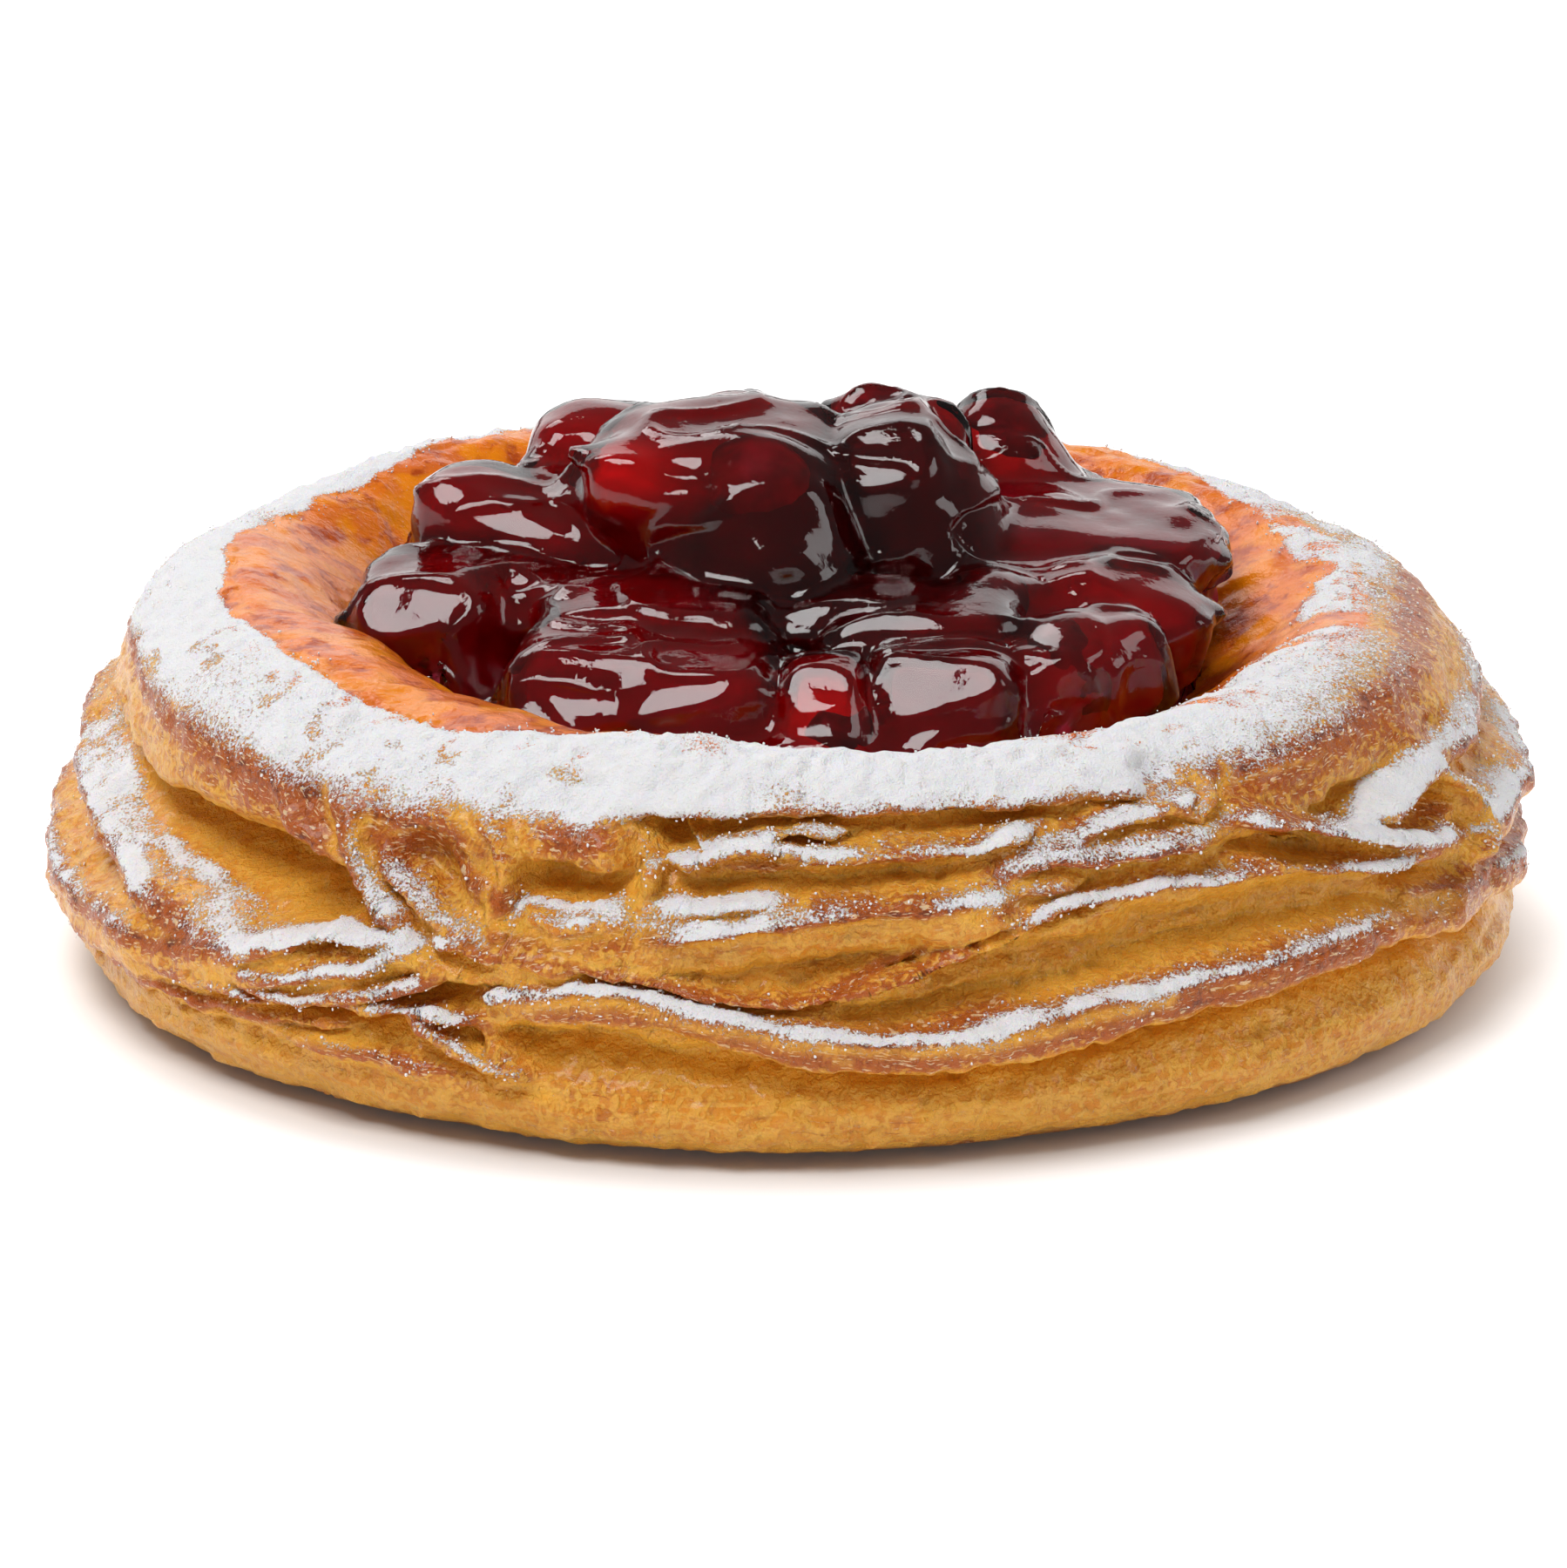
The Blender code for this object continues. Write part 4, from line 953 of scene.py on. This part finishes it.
def make_cherries(fruits, skin):
    """The cherries' flesh, under the jelly that coats it."""
    directions = ball(CHERRY_ROWS, CHERRY_COLUMNS)
    quads, triangles = ball_faces(CHERRY_ROWS, CHERRY_COLUMNS)
    for fruit in fruits:
        reach = fruit.radius * cherry_shape(directions, fruit.seed) - JELLY_COAT
        reach = reach + 0.10 * grain(directions * fruit.radius, 1.6, fruit.seed + 50)
        points = (directions * reach[:, None]) @ fruit.turn.T + fruit.place
        piece = mesh_piece(fruit.name.replace("cherry", "fruit"), points, quads, triangles)
        piece.data.materials.append(skin)
        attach(piece, "root")
        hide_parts(fruit.name)


def jelly_edge(x, y):
    """Radius of the jelly's edge in the direction of a place."""
    return smooth_round(JELLY_EDGE, np.degrees(np.arctan2(x, -y)))


def jelly_level(x, y, share):
    """Height of the jelly between the cherries: a level that is higher at the back, a mound,
    a dip in front of the mound, and a fall to the edge."""
    mound = MOUND_RISE * np.exp(-((x / 15.0) ** 2 + ((y - 8.0) / 10.0) ** 2))
    dip = WELL_DEPTH * np.exp(-((x - 4.0) ** 2 + (y + 6.0) ** 2) / 40.0)
    return JELLY_LEVEL + 0.05 * y + mound - dip - JELLY_EDGE_DROP * share ** 4


def bowl_height(radius):
    """Height of the bowl's slope under a radius."""
    inner = SECTION[RIM_PLACE:][::-1]
    return np.interp(radius, [p[0] for p in inner], [p[1] for p in inner])


def lump_axes(lump):
    """The directions of a lump's width, depth and height, as rows."""
    a, b, c = (math.radians(v) for v in (lump.turn, lump.lean, lump.roll))
    upright = np.array([(math.cos(a), math.sin(a), 0), (-math.sin(a), math.cos(a), 0), (0, 0, 1)])
    leant = np.array([(1, 0, 0), (0, math.cos(b), math.sin(b)), (0, -math.sin(b), math.cos(b))])
    rolled = np.array([(math.cos(c), 0, -math.sin(c)), (0, 1, 0), (math.sin(c), 0, math.cos(c))])
    return rolled @ leant @ upright


def lump_distance(points, lump):
    """About how far each point is outside a lump: its radius where the lump's half sizes are
    1, taken as the root of a sum of powers, less 1, times the way from the middle."""
    away = points - (lump.x, lump.y, lump.z)
    local = np.abs(away @ lump_axes(lump).T) / (lump.wide, lump.deep, lump.tall)
    reach = (local ** lump.square).sum(1) ** (1 / lump.square)
    outside = (1 - 1 / np.maximum(reach, 0.05)) * np.linalg.norm(away, axis=1)
    return np.maximum(outside, away @ np.array(LIGHT_FACE) - lump.cut)


def jelly_distance(points, fruits, shift, creases=1.0):
    """About how far each point is outside the jelly: the least of its distances to the lumps,
    to the coats of the cherries and the skirts below them, and to the jelly between, run
    together as -k log(sum(exp(-d / k))), with uneven noise and creases."""
    x, y, z = (points - shift).T
    radius = np.hypot(x, y)
    edge = jelly_edge(x, y)
    over = z - jelly_level(x, y, np.clip(radius / edge, 0, 1.1))
    past = radius - edge + 0.35 * (z - 22.0)
    between = np.log(np.exp(over / 0.9) + np.exp(past / 0.9)) * 0.9
    near = np.exp(-between / JELLY_BLEND)
    for fruit in fruits:
        away = points - fruit.place
        far = np.linalg.norm(away, axis=1)
        close = far < fruit.radius + 6.0
        unturned = away[close] / np.maximum(far[close], 1e-6)[:, None] @ fruit.turn
        coat = far[close] - fruit.radius * cherry_shape(unturned, fruit.seed) + COAT_INSET
        near[close] += np.exp(-coat / JELLY_BLEND)
        low = away + (0, 0, JELLY_SKIRT + JELLY_BARE)
        skirt = np.linalg.norm(low, axis=1) - fruit.radius - JELLY_SKIRT
        near += np.exp(-np.maximum(skirt, -20.0) / JELLY_BLEND) * (radius < edge + 1.5)
    for lump in LUMPS:
        near += np.exp(-np.maximum(lump_distance(points - shift, lump), -9.0) / JELLY_BLEND)
    merged = -JELLY_BLEND * np.log(np.maximum(near, 1e-30))
    folded = 1 - np.abs(grain(points * (0.7, 1.3, 1.3), 5.0, SEED + 62)) * 2.2
    uneven = rough(points, [(0.30, 5.5, 60), (0.13, 2.4, 61)])
    uneven = uneven - creases * 0.50 * np.clip(folded, 0, 1) ** 2
    under = bowl_height(radius) - JELLY_DEEP - z
    return np.maximum(merged + uneven, under)


def jelly_lens(directions):
    """A ball flattened to what the jelly between the cherries fills: out to its edge, from
    inside the crust up to its level."""
    x, y, z = directions.T
    share = np.hypot(x, y)
    edge = jelly_edge(x, y) * share
    flat = directions[:, :2] / np.maximum(share, 1e-6)[:, None] * edge[:, None]
    top = jelly_level(flat[:, 0], flat[:, 1], share)
    floor = bowl_height(edge) - JELLY_DEEP
    return np.column_stack([flat, floor + (top - floor) * smooth_step(z * 2.5 + 0.5)])


def lump_blank(directions, lump):
    """A ball drawn out to a lump's shape, sliced flat past its cut."""
    reach = (np.abs(directions) ** lump.square).sum(1) ** (-1 / lump.square)
    sized = directions * reach[:, None] * (lump.wide, lump.deep, lump.tall) @ lump_axes(lump)
    past = np.maximum(sized @ np.array(LIGHT_FACE) - lump.cut, 0.0)
    return sized - past[:, None] * LIGHT_FACE + (lump.x, lump.y, lump.z)


def jelly_blank(fruits, shift, voxel):
    """A rough closed mesh of all that the jelly covers: a ball for every cherry, one for its
    skirt, a lens between, and the lumps. A voxel remesh makes them one skin of even faces,
    because cherries that overhang each other can't lie on one grid."""
    directions = ball(14, 24)
    quads, triangles = ball_faces(14, 24)
    parts = []
    for fruit in fruits:
        parts.append(directions * fruit.radius * 0.96 + fruit.place)
        low = fruit.place - (0, 0, JELLY_SKIRT + JELLY_BARE)
        skirt = directions * (fruit.radius + JELLY_SKIRT) + low
        parts.append(np.maximum(skirt, (-99, -99, FLOOR_HEIGHT - 2.0)))
    parts.append(jelly_lens(directions) + shift)
    parts.extend(lump_blank(directions, lump) + shift for lump in LUMPS)
    count = len(directions)
    all_quads = np.vstack([quads + i * count for i in range(len(parts))])
    all_triangles = np.vstack([triangles + i * count for i in range(len(parts))])
    blank = mesh_piece("jelly_blank", np.vstack(parts), all_quads, all_triangles)
    skin = blank.modifiers.new("skin", "REMESH")
    skin.mode = "VOXEL"
    skin.voxel_size = voxel * MM
    skin.adaptivity = 0.0
    graph = bpy.context.evaluated_depsgraph_get()
    mesh = bpy.data.meshes.new_from_object(blank.evaluated_get(graph))
    bpy.data.objects.remove(blank)
    return mesh


def neighbour_mean(points, edges, count):
    """Mean of the places that each point is joined to."""
    total = np.zeros_like(points)
    np.add.at(total, edges[:, 0], points[edges[:, 1]])
    np.add.at(total, edges[:, 1], points[edges[:, 0]])
    return total / count[:, None]


def drawn_skin(fruits, shift, voxel, depth, creases):
    """The blank's skin, drawn in a few rounds of evening out and of stepping along the
    gradient onto the surface where jelly_distance is -depth."""
    mesh = jelly_blank(fruits, shift, voxel)
    points = np.empty(len(mesh.vertices) * 3, np.float32)
    mesh.vertices.foreach_get("co", points)
    points = points.reshape(-1, 3).astype(float) / MM
    edges = np.empty(len(mesh.edges) * 2, np.int32)
    mesh.edges.foreach_get("vertices", edges)
    edges = edges.reshape(-1, 2)
    count = np.bincount(edges.ravel(), minlength=len(points)).astype(float)
    for _ in range(DRAWN_ROUNDS):
        points = (1 - EVENING) * points + EVENING * neighbour_mean(points, edges, count)
        here = jelly_distance(points, fruits, shift, creases) + depth
        beside = (jelly_distance(points + way, fruits, shift, creases) for way in np.eye(3) * SLOPE_STEP)
        slope = np.stack([(there + depth - here) / SLOPE_STEP for there in beside], 1)
        steep = np.maximum((slope ** 2).sum(1), 0.25)
        move = slope * (here / steep)[:, None]
        size = np.linalg.norm(move, axis=1)
        points = points - move * np.minimum(1.0, LONGEST_STEP / np.maximum(size, 1e-6))[:, None]
    mesh.vertices.foreach_set("co", (points * MM).astype(np.float32).ravel())
    mesh.update()
    mesh.shade_smooth()
    # How bright the pulp is painted at each point: its painted light and shade, from the listed places
    bright = PULP_LIGHT_BETWEEN
    for tone in PULP_LIGHT_AND_SHADE:
        away = np.square(points - shift - (tone.x, tone.y, tone.z)).sum(1)
        bright = bright + tone.much * np.exp(-away / tone.wide ** 2)
    layer = mesh.attributes.new("bright", "FLOAT", "POINT")
    layer.data.foreach_set("value", np.clip(bright, 0, 1).astype(np.float32))
    return mesh


def make_jelly(fruits, shift, gel, pulp):
    """The jelly over and between the cherries, and the pulp inside it."""
    for name, voxel, depth, creases, finish in (
            ("cherry_jelly", JELLY_VOXEL, 0.0, 1.0, gel),
            ("cherry_pulp", PULP_VOXEL, PULP_UNDER, 0.2, pulp)):
        mesh = drawn_skin(fruits, shift, voxel, depth, creases)
        mesh.materials.clear()
        mesh.materials.append(finish)
        piece = in_scene(name, mesh)
        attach(piece, "root")
        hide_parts("jelly")


def shown(colour):
    """Linear colour from the 0 to 255 values of a screen colour."""
    value = np.array(colour) / 255
    return (*np.where(value > 0.04045, ((value + 0.055) / 1.055) ** 2.4, value / 12.92), 1.0)


class Finish:
    """A new material, and the kinds of node that its shader is made of."""

    def __init__(self, name):
        self.material = bpy.data.materials.new(name)
        self.material.use_nodes = True
        self.tree = self.material.node_tree
        self.place = self.add("ShaderNodeTexCoord").outputs["Object"]

    def set_inputs(self, node, inputs):
        """Sets a node's inputs to values, or joins them to outputs."""
        for key, value in inputs.items():
            if isinstance(value, bpy.types.NodeSocket):
                self.tree.links.new(value, node.inputs[key])
            else:
                node.inputs[key].default_value = value

    def add(self, kind, inputs=None, **settings):
        """A new node with its settings and inputs made."""
        node = self.tree.nodes.new(kind)
        for key, value in settings.items():
            setattr(node, key, value)
        self.set_inputs(node, inputs or {})
        return node

    def maths(self, operation, first, second=0.0, third=0.0):
        inputs = {0: first, 1: second, 2: third}
        return self.add("ShaderNodeMath", inputs, operation=operation).outputs[0]

    def plus(self, first, second):
        return self.maths("ADD", first, second)

    def times(self, first, second):
        return self.maths("MULTIPLY", first, second)

    def most(self, first, second):
        return self.maths("MAXIMUM", first, second)

    def less(self, first, second):
        return self.maths("SUBTRACT", first, second)

    def scaled(self, value, factor, start):
        """Start and factor times value."""
        return self.maths("MULTIPLY_ADD", value, factor, start)

    def vector(self, operation, inputs, output="Vector"):
        return self.add("ShaderNodeVectorMath", inputs, operation=operation).outputs[output]

    def mixed(self, share, first, second):
        """Colour between two, each a screen colour or an output."""
        first, second = (shown(c) if isinstance(c, tuple) else c for c in (first, second))
        return self.add("ShaderNodeMix", {0: share, 6: first, 7: second}, data_type="RGBA").outputs[2]

    def mottle(self, size, detail=2.0, rough=0.5, where=None):
        """Noise of lumps of the given size in millimetres, about 0 to 1."""
        inputs = {"Vector": where or self.place, "Scale": 1 / (size * MM)}
        inputs |= {"Detail": detail, "Roughness": rough}
        return self.add("ShaderNodeTexNoise", inputs).outputs["Fac"]

    def stepped(self, value, low, high):
        """0 below low, 1 above high, smooth between."""
        inputs = {"Value": value, "From Min": low, "From Max": high, "To Min": 0.0, "To Max": 1.0}
        return self.add("ShaderNodeMapRange", inputs, interpolation_type="SMOOTHSTEP").outputs[0]

    def field(self, name):
        """A named value of the mesh's points."""
        return self.add("ShaderNodeAttribute", attribute_name=name).outputs["Fac"]

    def dent(self, height, strength, distance):
        """Normals of a surface with a height on it, distance in millimetres."""
        inputs = {"Height": height, "Strength": strength, "Distance": distance * MM}
        return self.add("ShaderNodeBump", inputs).outputs[0]

    def done(self, inputs):
        """The material, with its shader's inputs made."""
        self.set_inputs(self.tree.nodes["Principled BSDF"], inputs)
        return self.material


Marks = namedtuple("Marks", "leaf layer fine grit bubble blister leafy patchy")


def crust_marks(crust):
    """Noises of the crust. leaf is a place that runs slowly along the layers of dough and
    quickly across them, layer has streaks along them, and leafy grows from 0 to 1 over each
    leaf, which shows in patches."""
    flat = crust.add("ShaderNodeSeparateXYZ", {0: crust.place})
    along = [crust.times(flat.outputs[i], 0.2) for i in range(2)]
    across = crust.times(crust.field("ply"), MM)
    leaf = crust.add("ShaderNodeCombineXYZ", {0: along[0], 1: along[1], 2: across}).outputs[0]
    ply = crust.scaled(crust.mottle(7.0, 0.0), 2.0, crust.field("ply"))
    return Marks(
        leaf=leaf,
        layer=crust.mottle(0.5, 3.0, where=leaf),
        fine=crust.mottle(0.9, 3.0, 0.6),
        grit=crust.mottle(0.22, 2.0, 0.6),
        bubble=crust.mottle(1.5, 2.0, 0.5),
        blister=crust.stepped(crust.mottle(0.55, 1.0, 0.4), 0.44, 0.62),
        leafy=crust.maths("FRACT", crust.times(ply, 1.1)),
        patchy=crust.stepped(crust.mottle(3.6, 1.0), 0.50, 0.62),
    )


def crust_browning(crust, marks):
    """How brown the dough is: as the bake field has it, unevenly, with browner lines along the
    crests of its folds and the edges of its leaves, and little inside its folds, which partly
    paints light over their shade."""
    baked = crust.field("bake")
    bake = crust.plus(baked, crust.scaled(crust.mottle(5.0, 3.0), 1.2, -0.62))
    bake = crust.plus(bake, crust.scaled(marks.layer, 0.4, -0.20))
    bake = crust.plus(bake, crust.scaled(marks.fine, -1.2, 0.60))
    bake = crust.plus(bake, crust.scaled(marks.blister, -0.35, 0.12))
    off_crest = crust.scaled(marks.fine, 0.5, crust.less(crust.field("ply"), 0.25))
    crest = crust.less(1.0, crust.stepped(crust.maths("ABSOLUTE", off_crest), 0.10, 0.42))
    crest = crust.times(crest, crust.stepped(baked, 0.15, 0.5))
    bake = crust.scaled(crest, 0.40, bake)
    seam = crust.times(crust.less(1.0, crust.stepped(marks.leafy, 0.0, 0.14)), marks.patchy)
    bake = crust.scaled(seam, 0.35, bake)
    return crust.times(bake, crust.scaled(crust.field("fold"), -0.8, 1.0))


def dough_colour(crust, marks, bake):
    """Dough, paler in streaks, bubbles and blisters, brown and then dark with its bake, with
    pale flecks along its layers, and a paler yellow inside its folds: partly the less baked
    dough there, partly painted light over their shade."""
    pale = crust.times(crust.stepped(marks.layer, 0.46, 0.66), 0.6)
    pale = crust.most(pale, crust.times(crust.stepped(marks.bubble, 0.54, 0.66), 0.5))
    pale = crust.most(pale, crust.times(marks.blister, 0.45))
    colour = crust.mixed(pale, DOUGH, DOUGH_PALE)
    colour = crust.mixed(crust.stepped(bake, 0.05, 0.75), colour, DOUGH_BROWN)
    spots = crust.times(crust.stepped(bake, 0.70, 1.40), crust.stepped(marks.fine, 0.42, 0.62))
    colour = crust.mixed(spots, colour, DOUGH_DARK)
    fleck = crust.stepped(crust.mottle(0.16, 1.0, 0.5, marks.leaf), 0.60, 0.68)
    fleck = crust.times(fleck, crust.stepped(bake, 0.10, 0.60))
    colour = crust.mixed(crust.times(fleck, 0.65), colour, DOUGH_FLECK)
    # Painted light in part: the folds and creases take a paler colour that lifts their shade
    return crust.mixed(crust.times(crust.field("fold"), 0.85), colour, DOUGH_LESS_BAKED_AND_LIT)


def glaze_colour(crust):
    """Orange glaze, rosier and deeper in patches, and amber where it is wet or has pooled."""
    colour = crust.mixed(crust.stepped(crust.mottle(6.0, 3.0), 0.40, 0.62), GLAZE, GLAZE_ROSY)
    colour = crust.mixed(crust.stepped(crust.mottle(2.4, 4.0, 0.6), 0.48, 0.62), colour, GLAZE_DEEP)
    pooled = crust.times(crust.stepped(crust.mottle(4.2, 2.0), 0.46, 0.60), 0.8)
    return crust.mixed(crust.most(crust.field("wet"), pooled), colour, AMBER)


def glaze_wrinkles(crust):
    """Noise drawn out towards the middle of the bowl."""
    flat = crust.add("ShaderNodeSeparateXYZ", {0: crust.place}).outputs
    level = crust.add("ShaderNodeCombineXYZ", {0: flat[0], 1: flat[1]}).outputs[0]
    ring = crust.vector("SCALE", {0: crust.vector("NORMALIZE", {0: level}), "Scale": 36 * MM})
    inward = crust.vector("SCALE", {0: level, "Scale": 0.22})
    return crust.mottle(2.2, 4.0, 0.6, crust.vector("ADD", {0: ring, 1: inward}))


def crust_height(crust, marks, bare, shine):
    """Height of the crust's finest relief: bubbles, blisters, layers and leaves where no sugar
    lies, grit all over, and wrinkles instead of these where the glaze shines."""
    height = crust.scaled(marks.blister, 0.8, marks.bubble)
    height = crust.scaled(marks.layer, 0.4, height)
    height = crust.scaled(crust.times(marks.leafy, marks.patchy), 0.6, height)
    height = crust.times(height, bare)
    height = crust.scaled(marks.grit, 1.6, crust.scaled(marks.fine, 0.7, height))
    height = crust.times(height, crust.scaled(shine, -0.85, 1.0))
    wrinkled = crust.scaled(glaze_wrinkles(crust), 0.5, crust.times(marks.bubble, 0.8))
    return crust.plus(height, crust.times(wrinkled, shine))


def crust_finish():
    """Baked dough, browned along the edges of its folds and streaked along its layers, with
    icing sugar where the sugar field has it and a glossy orange glaze in the bowl."""
    crust = Finish("baked_crust")
    marks = crust_marks(crust)
    dough = dough_colour(crust, marks, crust_browning(crust, marks))
    glaze = crust.field("glaze")
    colour = crust.mixed(glaze, dough, glaze_colour(crust))
    veil = crust.scaled(marks.grit, 2.0, crust.scaled(marks.fine, 0.8, -0.9))
    cover = crust.scaled(crust.field("sugar"), 1.25, -0.10)
    white = crust.stepped(crust.less(cover, veil), -0.20, 0.22)
    bare = crust.less(1.0, white)
    shine = crust.times(glaze, bare)
    return crust.done({
        "Base Color": crust.mixed(white, colour, SUGAR),
        "Roughness": crust.scaled(shine, -0.08, crust.scaled(white, 0.52, 0.30)),
        "Coat Weight": crust.scaled(shine, -0.18, crust.times(bare, 0.26)),
        "Coat Roughness": 0.12,
        "Specular IOR Level": 0.22,
        "Subsurface Weight": 0.25,
        "Subsurface Radius": (1.0, 0.45, 0.12),
        "Subsurface Scale": 0.8 * MM,
        "Normal": crust.dent(crust_height(crust, marks, bare, shine), 0.8, 0.2),
    })


def grain_finish():
    """Clumped icing sugar, a little greyer in places."""
    sugar = Finish("icing_sugar")
    return sugar.done({"Base Color": sugar.mixed(sugar.mottle(0.5), SUGAR, SUGAR_LIGHT), "Roughness": 0.85})


def jelly_finish():
    """Clear dark red jelly: a smooth skin over a body that takes up green and blue first."""
    jelly = Finish("cherry_jelly")
    body = jelly.add("ShaderNodeVolumeAbsorption", {"Color": JELLY_TINT, "Density": JELLY_DENSITY})
    jelly.set_inputs(jelly.tree.nodes["Material Output"], {"Volume": body.outputs[0]})
    return jelly.done({
        "Base Color": (1.0, 1.0, 1.0, 1.0),
        "Transmission Weight": 1.0,
        "IOR": JELLY_IOR,
        "Roughness": jelly.scaled(jelly.mottle(2.6, 3.0), 0.04, 0.0),
        "Normal": jelly.dent(jelly.mottle(1.3, 3.0, 0.55), 0.40, 0.12),
    })


def fruit_finish():
    """Cooked cherry skin: dark red, faintly mottled."""
    skin = Finish("cherry_skin")
    mottled = skin.stepped(skin.mottle(4.0, 3.0), 0.35, 0.72)
    return skin.done({
        "Base Color": skin.mixed(mottled, SKIN, SKIN_LIGHT),
        "Roughness": 0.45,
        "Normal": skin.dent(skin.mottle(1.6, 3.0), 0.3, 0.2),
    })


def pulp_finish():
    """Crushed cherry inside the jelly, with its light and shade painted on: nearly black where shade
    is painted deep in the jelly, bright red where light is painted shining through thin jelly and
    where the fruit's flesh is brighter.
    """
    pulp = Finish("cherry_pulp")
    bright = pulp.plus(pulp.field("bright"), pulp.scaled(pulp.mottle(6.0, 3.0), 0.5, -0.25))
    colour = pulp.mixed(pulp.stepped(bright, 0.0, 0.5), PULP_PAINTED_SHADE, PULP)
    colour = pulp.mixed(pulp.stepped(bright, 0.45, 1.1), colour, PULP_FLESH_AND_LIGHT)
    return pulp.done({"Base Color": colour, "Roughness": 0.6})


def floor_finish():
    """Pale floor with painted light: it glows away from the part, which keeps it white there, and
    hardly at all close to it, where the shade reads as a short contact shadow; the glow also lights
    the part from below.
    """
    floor = Finish("pale_floor_painted_glow")
    # Painted light: the floor glows strongly away from the part and barely beside it
    painted_glow = floor.stepped(floor.vector("LENGTH", {0: floor.place}, "Value"), 0.053, 0.065)
    return floor.done({
        "Base Color": shown(FLOOR),
        "Roughness": 0.9,
        "Specular IOR Level": 0.1,
        "Emission Color": (1.0, 0.99, 0.98, 1.0),
        "Emission Strength": floor.scaled(painted_glow, 0.72, 0.03),
    })


def make_floor():
    """The table under the part."""
    half = TABLE_HALF / MM
    corners = np.array([(-half, -half, 0), (half, -half, 0), (half, half, 0), (-half, half, 0)])
    floor = mesh_piece("table", corners - (0, 0, TABLE_GAP), np.array([[0, 1, 2, 3]]))
    floor.data.materials.append(floor_finish())


def softbox(name, place, wide, tall, radiance):
    """A rectangular lamp that looks as bright as radiance from in front of it."""
    lamp = bpy.data.lights.new(name, "AREA")
    lamp.shape = "RECTANGLE"
    lamp.size, lamp.size_y = wide, tall
    lamp.energy = radiance * wide * tall * math.pi
    thing = in_scene(name, lamp)
    thing.location = place
    thing.rotation_euler = (Vector(LAMP_AIM) - Vector(place)).to_track_quat("-Z", "Y").to_euler()


def light_the_table():
    """A key lamp high at the front left, weaker ones at the right and the back, and a dim
    room."""
    softbox("key_light", (-0.26, -0.33, 0.78), 0.48, 0.40, 9.2)
    softbox("right_light", (0.66, -0.20, 0.42), 0.26, 0.40, 3.0)
    softbox("back_light", (-0.34, 0.52, 0.72), 0.44, 0.34, 5.0)
    softbox("back_wall", (0, 1.30, 0.50), 3.0, 0.8, 1.3)
    world = bpy.data.worlds.new("room")
    world.use_nodes = True
    world.node_tree.nodes["Background"].inputs["Color"].default_value = (1.0, 1.0, 1.0, 1.0)
    world.node_tree.nodes["Background"].inputs["Strength"].default_value = ROOM_LIGHT
    bpy.context.scene.world = world
    bpy.context.scene.view_settings.view_transform = "Standard"


def set_camera():
    """The photograph's view: from the front, looking down by VIEW_RISE."""
    data = bpy.data.cameras.new("photo_view")
    data.sensor_width = SENSOR
    data.lens = SENSOR * VIEW_DISTANCE / (PHOTO_WIDTH / PIXELS_PER_MM * MM)
    data.shift_x = (PHOTO_WIDTH / 2 - PART_COLUMN) / PHOTO_WIDTH
    data.clip_start = 0.01
    camera = in_scene("photo_view", data)
    rise = math.radians(VIEW_RISE)
    aim = Vector((0, 0, AIM_HEIGHT))
    camera.location = aim + VIEW_DISTANCE * Vector((0, -math.cos(rise), math.sin(rise)))
    camera.rotation_euler = (aim - camera.location).to_track_quat("-Z", "Y").to_euler()
    bpy.context.scene.camera = camera


def main():
    """Makes the view, the light, the table and every piece."""
    set_camera()
    light_the_table()
    make_floor()
    shift, points, normal, sugar = make_crust(crust_finish())
    make_grains(points, normal, sugar, shift, grain_finish())
    fruits = cherries_found()
    make_cherries(fruits, fruit_finish())
    make_jelly(fruits, shift, jelly_finish(), pulp_finish())
    bpy.context.view_layer.update()


main()
